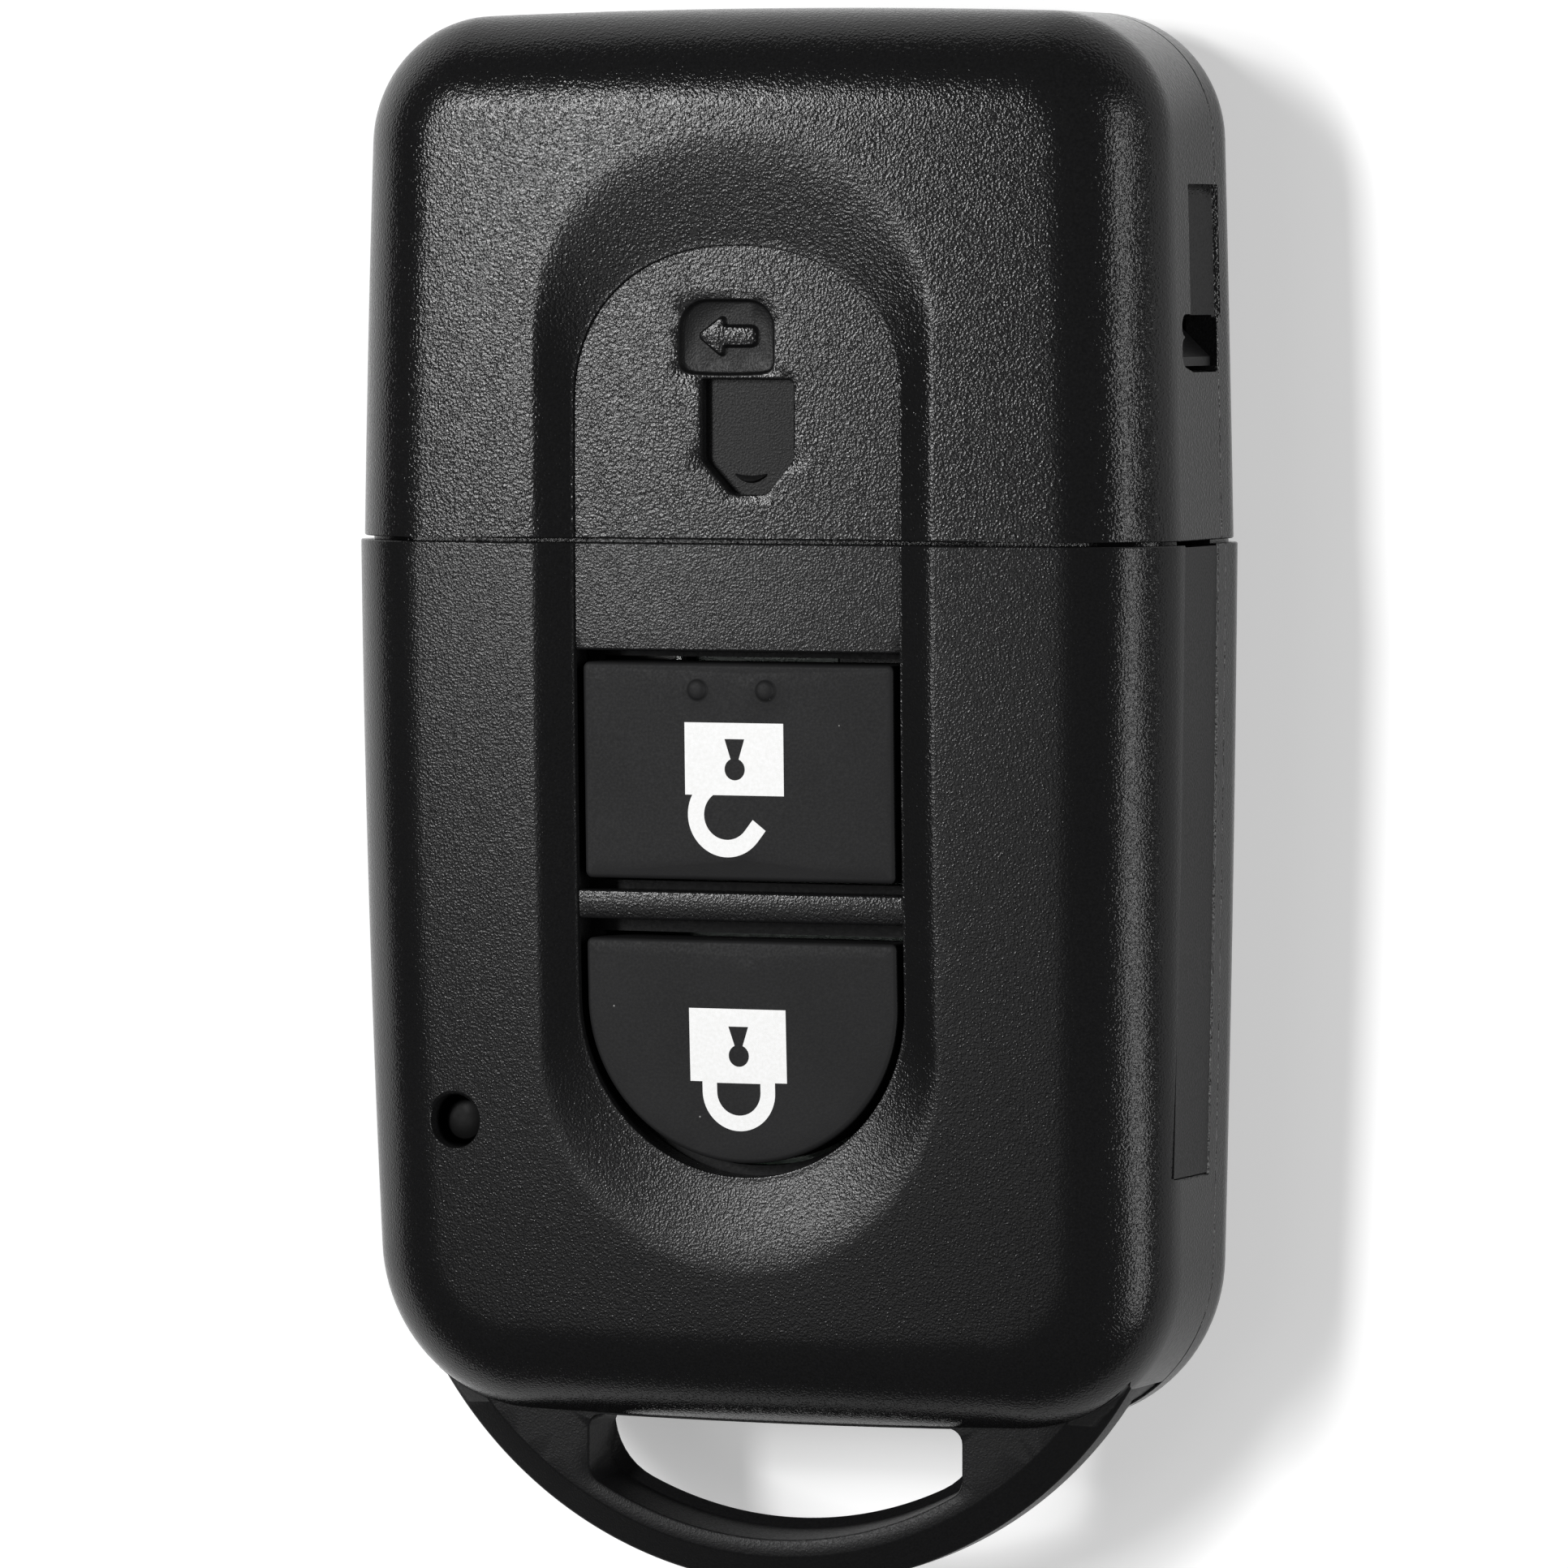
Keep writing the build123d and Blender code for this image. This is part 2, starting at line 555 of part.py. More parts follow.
def slider_frame():
    """Guide box under the front wall that carries the slider and its spring."""
    x = (SPRING_START_X - 0.9, SLIDER_X[1] + 1.0)
    y = (SLIDER_Y[0] - 0.8, SLIDER_Y[1] + 0.8)
    return box(x, y, (SLIDER_Z[0] - 0.7, crown_z(PARTING_Y, ROOF_DEPTH) + 0.3))


def slider_room():
    """Room for the slider's plate and its travel, its spring and its arm, open below between two rails."""
    plate_x = (SLIDER_X[0] - SLIDER_TRAVEL - 0.15, SLIDER_X[1] + 0.15)
    plate = box(plate_x, (SLIDER_Y[0] - 0.1, SLIDER_Y[1] + 0.1), (SLIDER_Z[0] - 0.1, SLIDER_Z[1] + 0.1))
    opening = box(plate_x, (SLIDER_Y[0] + 0.9, SLIDER_Y[1] - 0.9), (8, SLIDER_Z[1]))
    coil = SPRING_R + SPRING_WIRE_R + 0.06
    spring = box((SPRING_START_X, 0), (SPRING_Y - coil, SPRING_Y + coil), (SPRING_Z - coil, SPRING_Z + coil))
    arm_x = (SLIDER_X[1] - 1.6 - SLIDER_TRAVEL, SLIDER_X[1] + 3)
    arm = box(arm_x, (ARM_Y[0] - 0.15, ARM_Y[1] + 0.15), (8, SLIDER_Z[0]))
    return plate + opening + spring + arm


def shield_plan():
    """Window shaped like a shield, with a flat top and a rounded point."""
    x0, x1 = SHIELD_X
    low, shoulder, top = SHIELD_Y
    mid = (x0 + x1) / 2
    right = ThreePointArc((x1, shoulder), (x1 - 0.75, low + 0.55), (mid, low))
    left = ThreePointArc((mid, low), (x0 + 0.75, low + 0.55), (x0, shoulder))
    return make_face(Curve() + [Polyline((x0, shoulder), (x0, top), (x1, top), (x1, shoulder)), right, left])


def arrow_pocket():
    """Shallow pocket that leaves a raised arrow pointing left."""
    size = (POCKET_X[1] - POCKET_X[0], POCKET_Y[1] - POCKET_Y[0])
    plan = Pos(sum(POCKET_X) / 2, sum(POCKET_Y) / 2) * Rectangle(*size)
    plan = fillet(plan.vertices().group_by(Axis.Y)[-1], 0.7)
    plan -= arrow_plan()
    return upright(plan, (9, 20)) - under_crown(LAND_DEPTH + POCKET_DEPTH, -1)


def arrow_plan():
    tip = (-1.79, 20.85)
    upper = (-0.62, 21.75)
    lower = (-0.62, 19.95)
    tail = (1.0, 0.4)
    outline = Polyline(tip, upper, (upper[0], tip[1] + tail[1]), (tail[0], tip[1] + tail[1]),
                       (tail[0], tip[1] - tail[1]), (lower[0], tip[1] - tail[1]), lower, close=True)
    return make_face(outline)


def cap_rear_shell(outer, inner):
    shell = cap_walls(outer, inner) & box((-25, 25), (-40, 40), (-1, SEAM_Z))
    half = TANG_WIDTH / 2
    holder = box((BLADE_X - half - 1.6, BLADE_X + half + 1.6), (NECK_END_Y + 0.6, TANG_END_Y + 1.4),
                 (FLOOR_Z - 0.2, BLADE_Z + BLADE_T + 1.6))
    shell += holder
    shell -= tang_room()
    shell -= Pos(BLADE_X, PIN_Y, 4) * Cylinder(PIN_R + FIT, 5.2)
    return shell


def tang_room():
    half = TANG_WIDTH / 2 + FIT
    blade = BLADE_WIDTH / 2 + 0.1
    z = (BLADE_Z - FIT, BLADE_Z + BLADE_T + FIT)
    room = box((BLADE_X - half, BLADE_X + half), (BLADE_ROOT_Y + 0.3, TANG_END_Y + FIT), z)
    return room + box((BLADE_X - blade, BLADE_X + blade), (0, BLADE_ROOT_Y + 1), z)


def key_blade():
    """Blank with a pointed tip, a milled groove on each face and a wider tang with a pin hole."""
    half = BLADE_WIDTH / 2
    tip = BLADE_TIP_Y
    plan = Polyline((BLADE_X - half, BLADE_ROOT_Y + 0.5), (BLADE_X - half, tip + 3.2), (BLADE_X - 1.2, tip),
                    (BLADE_X + 1.2, tip), (BLADE_X + half, tip + 3.2), (BLADE_X + half, BLADE_ROOT_Y + 0.5), close=True)
    blank = upright(make_face(plan), (BLADE_Z, BLADE_Z + BLADE_T))
    tang = box((BLADE_X - TANG_WIDTH / 2, BLADE_X + TANG_WIDTH / 2), (BLADE_ROOT_Y + 0.4, TANG_END_Y),
               (BLADE_Z, BLADE_Z + BLADE_T))
    blank += chamfer(tang.edges().filter_by(Axis.Z).group_by(Axis.Y)[-1], 1.0)
    groove_y = (tip - 1, BLADE_ROOT_Y - 3)
    for x, z in ((BLADE_X - 1.3, (BLADE_Z + BLADE_T - 0.6, 10)), (BLADE_X + 1.3, (0, BLADE_Z + 0.6))):
        blank -= box((x - 0.9, x + 0.9), groove_y, z)
    return blank - Pos(BLADE_X, PIN_Y, BLADE_Z) * Cylinder(PIN_R + FIT, 10)


def blade_pin():
    """Roll pin with its slit."""
    tube = Cylinder(PIN_R, 4.4) - Cylinder(PIN_R - 0.35, 5) - Pos(1, 0, 0) * Box(2, 0.3, 5)
    return Pos(BLADE_X, PIN_Y, 3.7) * tube


def lock_slider():
    """Plate under the shield window with a nail notch, and an arm whose leg stands behind the latch leaf."""
    plate = box(SLIDER_X, SLIDER_Y, SLIDER_Z)
    notch_x = (SHIELD_X[0] + SHIELD_X[1]) / 2
    notch = Pos(notch_x, 14.55, SLIDER_Z[1]) * extrude(Circle(0.85) - Pos(0, 0.55) * Circle(1.0), 0.4, both=True)
    arm = box((SLIDER_X[1] - 1.5, LEG_X[1]), ARM_Y, ARM_Z)
    leg = box(LEG_X, ARM_Y, (LEG_Z, ARM_Z[1]))
    bridge = box((SLIDER_X[1] - 1.5, SLIDER_X[1]), (ARM_Y[0], SLIDER_Y[1]), (ARM_Z[0], SLIDER_Z[1]))
    slider = plate - notch + arm + leg + bridge
    return chamfer(slider.edges().filter_by(Axis.Y).filter_by_position(Axis.X, LEG_X[1] - 0.1, LEG_X[1] + 0.1), 0.3)


def slider_spring():
    """Compression coil between the pocket's end and the slider."""
    length = SLIDER_X[0] - SPRING_START_X - 2 * SPRING_WIRE_R - FIT
    helix = Helix(length / SPRING_TURNS, length, SPRING_R)
    start = Plane(origin=helix @ 0, z_dir=helix % 0)
    coil = sweep(start * Circle(SPRING_WIRE_R), path=helix)
    place = Pos(SPRING_START_X + SPRING_WIRE_R + FIT / 2, SPRING_Y, SPRING_Z) * Rot(0, 90, 0)
    return place * coil


def build():
    body_outer, body_inner = moulding(body_outline, "high")
    cap_outer, cap_inner = moulding(cap_outline, "low")
    return {
        "body_front_shell": body_front_shell(body_outer, body_inner),
        "body_rear_shell": body_rear_shell(body_outer, body_inner),
        "chassis": chassis(body_inner),
        "latch_bar": latch_bar(),
        "keypad_web": keypad_web(),
        "unlock_key": unlock_key(),
        "lock_key": lock_key(),
        "unlock_switch": switch(UNLOCK_SWITCH_Y),
        "lock_switch": switch(LOCK_SWITCH_Y),
        "unlock_plunger": plunger(UNLOCK_SWITCH_Y),
        "lock_plunger": plunger(LOCK_SWITCH_Y),
        "circuit_board": circuit_board(),
        "status_led": status_led(),
        "led_lens": led_lens(),
        "control_chip": on_board(5.6, -16.4, 4.0, 4.0, 1.0),
        "crystal_can": on_board(-6.5, 6.0, 3.2, 2.5, 0.9),
        "antenna_coil": on_board(6.0, 5.6, 6.0, 3.2, 2.2),
        "coin_cell": coin_cell(),
        "contact_positive": contact_positive(),
        "contact_negative": contact_negative(),
        "cap_front_shell": cap_front_shell(cap_outer, cap_inner),
        "cap_rear_shell": cap_rear_shell(cap_outer, cap_inner),
        "key_blade": key_blade(),
        "blade_pin": blade_pin(),
        "lock_slider": lock_slider(),
        "slider_spring": slider_spring(),
    }


os.makedirs("parts", exist_ok=True)
for name, solid in build().items():
    export_step(solid, f"parts/{name}.step")
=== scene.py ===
"""Dresses the key fob: grained mouldings, silicone keys with printed padlocks, ring loop and studio light.

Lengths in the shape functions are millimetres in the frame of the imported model, and are turned into metres
when a mesh is made. The fob lies on its back: +Z is its front, +Y points to the cap's end and +X to its right.
"""
import json
from math import asin, atan2, cos, pi, radians, sin, sqrt

import bmesh
import bpy
import numpy as np
from mathutils import Matrix, Vector
from mathutils.geometry import delaunay_2d_cdt


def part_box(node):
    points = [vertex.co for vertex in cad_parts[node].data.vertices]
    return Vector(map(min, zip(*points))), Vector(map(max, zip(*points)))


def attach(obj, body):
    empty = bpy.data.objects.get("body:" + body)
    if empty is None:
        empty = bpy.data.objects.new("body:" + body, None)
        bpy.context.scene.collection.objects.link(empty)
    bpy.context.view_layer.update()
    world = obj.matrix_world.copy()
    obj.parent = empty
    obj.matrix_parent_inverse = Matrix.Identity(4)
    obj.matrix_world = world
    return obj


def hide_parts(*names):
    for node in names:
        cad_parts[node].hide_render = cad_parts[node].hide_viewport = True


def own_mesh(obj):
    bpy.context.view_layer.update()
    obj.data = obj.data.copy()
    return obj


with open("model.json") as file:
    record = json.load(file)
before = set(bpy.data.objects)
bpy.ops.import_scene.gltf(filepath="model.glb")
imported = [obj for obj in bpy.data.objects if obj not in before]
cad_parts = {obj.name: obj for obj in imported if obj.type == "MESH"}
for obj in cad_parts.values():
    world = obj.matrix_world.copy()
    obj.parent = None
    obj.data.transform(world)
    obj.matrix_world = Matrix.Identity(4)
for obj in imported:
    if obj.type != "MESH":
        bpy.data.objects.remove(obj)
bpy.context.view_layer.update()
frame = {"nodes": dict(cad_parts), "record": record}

MM = 0.001

# Overall form, as in the solids
PARTING_Y = 11.7
PARTING_GAP = 0.17
END_HALF = 19.1
END_BOW = 0.42
OVERRUN = 6.0                # how far a side's curve runs on past the parting line
CROWN_Z = 13.85
CROWN_Y = 15.0
CROWN_R = 500.0
BULGE_R = 220.0              # the front also falls slightly to both sides
BULGE_Z = (8.0, 12.5)        # the fall fades out below the front
FRONT_ROUND = 4.5
REAR_ROUND = 3.0
WALL = 1.5
FLOOR_Z = 1.3
ROOF_DEPTH = 2.0
SEAM_Z = 4.0
SEAM_BEVEL = 0.06
MOUTH_BEVEL = 0.08
LIP_INSET = 0.4
LIP_ROUND = 3.4
LIP_DEPTH = 1.7              # under the crown
REAR_LIP_ROUND = 2.6
REAR_LIP_Z = 0.4

# Dish, land and windows
RAMP_DEPTH = 0.6
RAMP_EASE = 0.9              # how gently the ramp starts at its outer edge
LAND_DEPTH = 0.72
LEDGE = 0.08
LAND_HALF = 7.84
DISH_HALF = 9.7
ARCH_TOP_Y = 24.85
ARCH_SPRING_Y = 17.9
ARCH_POWER = 2.17            # superellipse of the cap's arches; 2 is a plain ellipse
DISH_TOP_Y = 30.1
DISH_SPRING_Y = 20.7
LOWER_ARC_Y = -8.86
DISH_BOTTOM_Y = -21.2
DISH_LOWER_ARC_Y = -11.6
UNLOCK_TOP_Y = 6.8
UNLOCK_BOTTOM_Y = -3.93
LOCK_TOP_Y = -5.24
WINDOW_RIM = 0.12
BAND_SPACING = 0.9           # of the points inside a filled region
TOP_SPACING = 0.8


def crown_z(y, depth=0.0):
    """Height of the crowned front at y, or of the surface that lies depth under it."""
    r = CROWN_R - depth
    return CROWN_Z - CROWN_R + sqrt(r * r - (y - CROWN_Y) ** 2)


def bulged(obj):
    """Lets a finished piece follow the slight fall of the front towards its sides."""
    mesh = obj.data
    flat = np.empty(len(mesh.vertices) * 3)
    mesh.vertices.foreach_get("co", flat)
    points = flat.reshape(-1, 3) / MM
    share = np.clip((points[:, 2] - BULGE_Z[0]) / (BULGE_Z[1] - BULGE_Z[0]), 0, 1)
    points[:, 2] -= points[:, 0] ** 2 / (2 * BULGE_R) * share * share * (3 - 2 * share)
    mesh.vertices.foreach_set("co", (points * MM).ravel())
    mesh.update()
    return obj


def steps(a, b, count):
    """count + 1 values from a to b."""
    return [a + (b - a) * i / count for i in range(count + 1)]


def wider(span, by):
    """The span with both ends moved out, or in where by is negative."""
    return span[0] - by, span[1] + by


def level(row, depth):
    """The same plan points, laid at depth under the crown."""
    return [(p[0], p[1], crown_z(p[1], depth)) for p in row]


def new_object(name, data):
    obj = bpy.data.objects.new(name, data)
    bpy.context.scene.collection.objects.link(obj)
    return obj


def in_metres(name, mesh, bm):
    """A new object whose shape was drawn in millimetres."""
    bmesh.ops.scale(bm, vec=(MM, MM, MM), verts=bm.verts)
    bm.to_mesh(mesh)
    bm.free()
    return new_object(name, mesh)


class Skin:
    """Collects points and faces of one mesh. Points that meet are merged when the object is made."""

    def __init__(self):
        self.points = []
        self.faces = []
        self.finishes = []
        self.finish = 0

    def add(self, row):
        start = len(self.points)
        self.points += [tuple(p) for p in row]
        return list(range(start, len(self.points)))

    def keep(self, face):
        self.faces.append(face)
        self.finishes.append(self.finish)

    def face(self, row):
        self.keep(self.add(row))

    def strip(self, rows, closed=False):
        """Quads between rows that hold the same number of points."""
        ids = [self.add(row) for row in rows]
        for low, high in zip(ids, ids[1:]):
            count = len(low)
            for i in range(count if closed else count - 1):
                j = (i + 1) % count
                self.keep([low[i], low[j], high[j], high[i]])

    def tube(self, rows):
        """Closed rows with a face over each end."""
        self.strip(rows, closed=True)
        self.face(rows[0])
        self.face(rows[-1])

    def fill(self, loops, place, spacing=0.0):
        """Triangles in a flat region: the first loop is its edge, the others are holes. place lifts (u, v)."""
        flat = [Vector(p[:2]) for loop in loops for p in loop]
        edges = []
        for loop in loops:
            start, count = len(edges), len(loop)
            edges += [(start + i, start + (i + 1) % count) for i in range(count)]
        if spacing:
            flat += [Vector(p) for p in grid_inside(loops, spacing)]
        verts, _, tris, _, _, _ = delaunay_2d_cdt(flat, edges, [], 0, 1e-5)
        centres = np.array([[sum(verts[i][k] for i in t) / 3 for k in (0, 1)] for t in tris])
        start = len(self.points)
        self.points += [tuple(place(v[0], v[1])) for v in verts]
        for tri, kept in zip(tris, inside(centres, loops)):
            if kept:
                self.keep([start + i for i in tri])

    def cover(self, loops, depth, spacing=0.0):
        """Fills a region that lies at depth under the crown."""
        self.fill(loops, lambda u, v: (u, v, crown_z(v, depth)), spacing)

    def build(self, name, merge=0.002):
        """A smooth-shaded object with outward normals."""
        mesh = bpy.data.meshes.new(name)
        mesh.from_pydata(self.points, [], self.faces)
        for _ in range(max(self.finishes) + 1):
            mesh.materials.append(None)
        mesh.polygons.foreach_set("material_index", self.finishes)
        bm = bmesh.new()
        bm.from_mesh(mesh)
        bmesh.ops.remove_doubles(bm, verts=bm.verts, dist=merge)
        bmesh.ops.dissolve_degenerate(bm, edges=bm.edges, dist=merge / 2)
        bmesh.ops.delete(bm, geom=[v for v in bm.verts if not v.link_faces], context="VERTS")
        bmesh.ops.recalc_face_normals(bm, faces=bm.faces)
        return smooth(in_metres(name, mesh, bm))


def smooth(obj, angle=32.0):
    """Smooth shading with crisp edges over an angle in degrees."""
    obj.data.shade_smooth()
    obj.data.set_sharp_from_angle(angle=radians(angle))
    return obj


def crisp_mouth(obj):
    """Keeps the rounded edge of a mouth from tinting the flat faces that it meets."""
    mesh = obj.data
    reach = PARTING_GAP / 2 + MOUTH_BEVEL + 0.001
    sides = {}
    for face in mesh.polygons:
        beyond = abs(face.center.y / MM - PARTING_Y) > reach
        for key in face.edge_keys:
            sides.setdefault(key, set()).add(beyond)
    for edge in mesh.edges:
        away = [abs(mesh.vertices[i].co.y / MM - PARTING_Y) for i in edge.vertices]
        if max(away) <= reach and len(sides[edge.key]) == 2:
            edge.use_edge_sharp = True
    return obj


def inside(points, loops):
    """For each point, whether it lies in the region that the loops bound."""
    found = np.zeros(len(points), bool)
    x, y = points[:, 0], points[:, 1]
    for loop in loops:
        ends = np.array([p[:2] for p in loop])
        for (ax, ay), (bx, by) in zip(ends, np.roll(ends, -1, axis=0)):
            if ay != by:
                found ^= ((ay > y) != (by > y)) & (x < ax + (y - ay) * (bx - ax) / (by - ay))
    return found


def grid_inside(loops, spacing):
    """Points of a staggered grid inside the loops and clear of their edges."""
    edge = np.array([p[:2] for loop in loops for p in loop])
    (x0, y0), (x1, y1) = edge.min(0), edge.max(0)
    rows, columns = int((y1 - y0) / (spacing * 0.87)), int((x1 - x0) / spacing)
    grid = np.array([(x0 + (i + (j % 2) / 2) * spacing, y0 + j * spacing * 0.87)
                     for j in range(1, rows + 1) for i in range(columns + 1)])
    grid = grid[inside(grid, loops)]
    clear = [np.min(np.sum((edge - p) ** 2, axis=1)) > (0.55 * spacing) ** 2 for p in grid]
    return grid[np.array(clear, bool)].tolist()


def ring(plan, inset, height):
    """Row of points on a plan drawn in by inset, each at height(its y)."""
    drawn_in = [(x - nx * inset, y - ny * inset) for x, y, nx, ny in plan]
    return [(x, y, height(y)) for x, y in drawn_in]


def quarter(radius, count=12):
    """(inset, rise) along a quarter round from upright to level."""
    return [(radius * (1 - cos(a)), radius * sin(a)) for a in steps(0, pi / 2, count)]


def across(left, right, count):
    """Points between two points, ends included."""
    return [tuple(left[k] + (right[k] - left[k]) * i / count for k in range(3)) for i in range(count + 1)]


def mouth_profile(rows, middle):
    """Up the left ends of the rows, over the middle and down their right ends."""
    return [row[0] for row in rows] + middle + [row[-1] for row in reversed(rows)]


def mouth_rows(profile, way, turn):
    """Rows that round off a mouth's edge, from the profile where the round starts to the mouth."""
    flat = np.array([(p[0], p[2]) for p in profile])
    run = np.gradient(flat, axis=0)
    run /= np.maximum(np.linalg.norm(run, axis=1), 1e-9)[:, None]
    normal = np.stack([-run[:, 1], run[:, 0]], axis=1) * turn
    rows = [list(profile)]
    for a in steps(0, pi / 2, 3)[1:]:
        moved = flat - normal * MOUTH_BEVEL * (1 - cos(a))
        y = profile[0][1] + way * MOUTH_BEVEL * sin(a)
        rows.append([(x, y, z) for x, z in moved])
    return rows


class Casing:
    """One end of the fob, cap or body: its plan, its outer and inner rows, its mouth and its seam."""

    def __init__(self, half, side_bow, end_y, corner_r, lip=0):
        self.half, self.side_bow, self.end_y, self.corner_r, self.lip = half, side_bow, end_y, corner_r, lip
        self.way = 1 if end_y < PARTING_Y else -1
        self.mouth_y = PARTING_Y - self.way * PARTING_GAP / 2
        self.edge_y = self.mouth_y - self.way * MOUTH_BEVEL
        self.lip_y = self.mouth_y + self.way * lip
        self.plan = self.trace(self.edge_y)
        self.inner_plan = self.trace(self.lip_y)

    def side(self, y):
        """Point and normal on the right side."""
        blank_y = PARTING_Y + self.way * OVERRUN
        length_y = self.end_y + self.way * END_BOW - blank_y
        u = (y - blank_y) / length_y
        x = self.half + (END_HALF - self.half) * u + 4 * self.side_bow * u * (1 - u)
        slope = (END_HALF - self.half + 4 * self.side_bow * (1 - 2 * u)) / length_y
        length = sqrt(1 + slope * slope)
        return x, y, 1 / length, -slope / length

    def end(self, x):
        """Point and normal on the bowed end."""
        lean = 2 * END_BOW * x / END_HALF ** 2
        length = sqrt(1 + lean * lean)
        return x, self.end_y + self.way * END_BOW * (x / END_HALF) ** 2, lean / length, -self.way / length

    def trace(self, start_y):
        """U from the left of the mouth to the right, as (x, y, normal x, normal y)."""
        r = self.corner_r
        side_y = self.end_y + self.way * (r + END_BOW)
        end_x = END_HALF - r
        for _ in range(20):
            centre_x = self.side(side_y)[0] - r * self.side(side_y)[2]
            end_x = centre_x + r * self.end(end_x)[2]
            centre_y = self.end(end_x)[1] - r * self.end(end_x)[3]
            side_y = centre_y + r * self.side(side_y)[3]
        a0, a1 = (atan2(at[3], at[2]) for at in (self.side(side_y), self.end(end_x)))
        right = [self.side(y) for y in steps(start_y, side_y, 40)]
        right += [(centre_x + r * cos(a), centre_y + r * sin(a), cos(a), sin(a)) for a in steps(a0, a1, 24)[1:]]
        right += [self.end(x) for x in steps(end_x, 0.0, 14)[1:]]
        return [(-x, y, -nx, ny) for x, y, nx, ny in right] + right[-2::-1]

    def front_rows(self):
        """Outer and inner rows of the front moulding."""
        outer = [ring(self.plan, SEAM_BEVEL, lambda y: SEAM_Z),
                 ring(self.plan, 0, lambda y: SEAM_Z + SEAM_BEVEL)]
        for share in (0.35, 0.7):
            outer.append(ring(self.plan, 0, lambda y: SEAM_Z + (crown_z(y) - FRONT_ROUND - SEAM_Z) * share))
        for inset, rise in quarter(FRONT_ROUND, 18):
            outer.append(ring(self.plan, inset, lambda y: crown_z(y) - FRONT_ROUND + rise))
        radius = FRONT_ROUND - WALL
        inner = [ring(self.inner_plan, WALL, lambda y: SEAM_Z)]
        for inset, rise in quarter(radius, 8):
            inner.append(ring(self.inner_plan, WALL + inset, lambda y: crown_z(y, ROOF_DEPTH) - radius + rise))
        return outer, inner

    def rear_rows(self):
        """Outer and inner rows of the rear moulding."""
        outer = [ring(self.plan, SEAM_BEVEL, lambda y: SEAM_Z),
                 ring(self.plan, 0, lambda y: SEAM_Z - SEAM_BEVEL)]
        for inset, drop in quarter(REAR_ROUND, 14):
            outer.append(ring(self.plan, inset, lambda y: REAR_ROUND - drop))
        radius = REAR_ROUND - WALL
        inner = [ring(self.inner_plan, WALL, lambda y: SEAM_Z)]
        for inset, drop in quarter(radius, 6):
            inner.append(ring(self.inner_plan, WALL + inset, lambda y: FLOOR_Z + radius - drop))
        return outer, inner

    def lip_profile(self, top_z, radius, turn):
        """Section of the lip's outer side, from the left of the seam to the right, as (x, z)."""
        half = -self.plan[0][0] - LIP_INSET
        corner = [(half - radius + radius * cos(a), top_z - turn * (radius - radius * sin(a)))
                  for a in steps(0, pi / 2, 10)]
        right = [(half, SEAM_Z)] + corner
        return [(-x, z) for x, z in right] + right[::-1]

    def close(self, skin, outer, inner, middle, turn, holes, inner_z, lip):
        """Adds walls, rounded mouth, section, seam and inside; middle is the profile between the sides."""
        skin.strip(outer)
        skin.strip(inner)
        rows = mouth_rows(mouth_profile(outer, middle[1:-1]), self.way, turn)
        skin.strip(rows)
        edge = [(x, z) for x, _, z in rows[-1]]
        ends = [[row[end] for row in rows] for end in (0, -1)]
        if self.lip:
            skin.fill([edge + lip[::-1]], lambda u, v: (u, self.mouth_y, v))
            skin.strip([[(x, y, z) for x, z in lip] for y in (self.mouth_y, self.lip_y)])
            for way, end in zip((0, -1), ends):
                end += [(lip[way][0], y, SEAM_Z) for y in (self.mouth_y, self.lip_y)]
            edge = lip
        inner_profile = mouth_profile(inner, across(inner[-1][0], inner[-1][-1], 30)[1:-1])
        skin.fill([edge + [(x, z) for x, _, z in reversed(inner_profile)]], lambda u, v: (u, self.lip_y, v))
        skin.strip([outer[0], inner[0]])
        for way, end in zip((0, -1), ends):
            skin.face(end + [inner[0][way]])
        roof = inner[-1] + across(inner[-1][-1], inner[-1][0], 30)[1:-1]
        skin.fill([roof] + holes, lambda u, v: (u, v, inner_z(v)))


# The body has a low lip round its mouth, which closes the joint to light
BODY = Casing(half=19.9, side_bow=0.14, end_y=-28.15, corner_r=7.6, lip=0.2)
CAP = Casing(half=19.78, side_bow=0.04, end_y=35.44, corner_r=5.8)


def tongue(half, tip_y, spring_y, ys, power, count=44):
    """U of a tongue: left side at the ys, which end at the spring, the round end, and the right side."""
    bend = []
    for a in steps(0, pi, count)[1:-1]:
        x = -half * np.sign(cos(a)) * abs(cos(a)) ** (2 / power)
        bend.append((x, spring_y + (tip_y - spring_y) * sin(a) ** (2 / power)))
    return [(-half, y) for y in ys] + bend + [(half, y) for y in reversed(ys)]


def dish_rows(foot, dish, ys, power):
    """Rows from the dish's outer edge down its ramp and over the small step to the land's edge."""
    half, spring, tip = foot
    dish_half, dish_spring, dish_tip = dish
    way = 1 if tip > spring else -1
    start = ys[0]
    dish_ys = [start + (y - start) * (dish_spring - start) / (spring - start) for y in ys]
    outer = tongue(dish_half, dish_tip, dish_spring, dish_ys, power)
    inner = tongue(half + LEDGE, tip + way * LEDGE, spring, ys, power)
    rows = []
    for t in steps(0, 1, 16):
        depth = RAMP_DEPTH * (t - RAMP_EASE * (1 - (1 - t) ** 6) / 6) / (1 - RAMP_EASE / 6)
        between = [(a[0] + (b[0] - a[0]) * t, a[1] + (b[1] - a[1]) * t) for a, b in zip(outer, inner)]
        rows.append(level(between, depth))
    for shrink, depth in ((0.04, 0.0), (0.068, 0.012), (0.08, 0.04), (0.08, LAND_DEPTH - RAMP_DEPTH)):
        row = tongue(half + LEDGE - shrink, tip + way * (LEDGE - shrink), spring, ys, power)
        rows.append(level(row, RAMP_DEPTH + depth))
    return rows


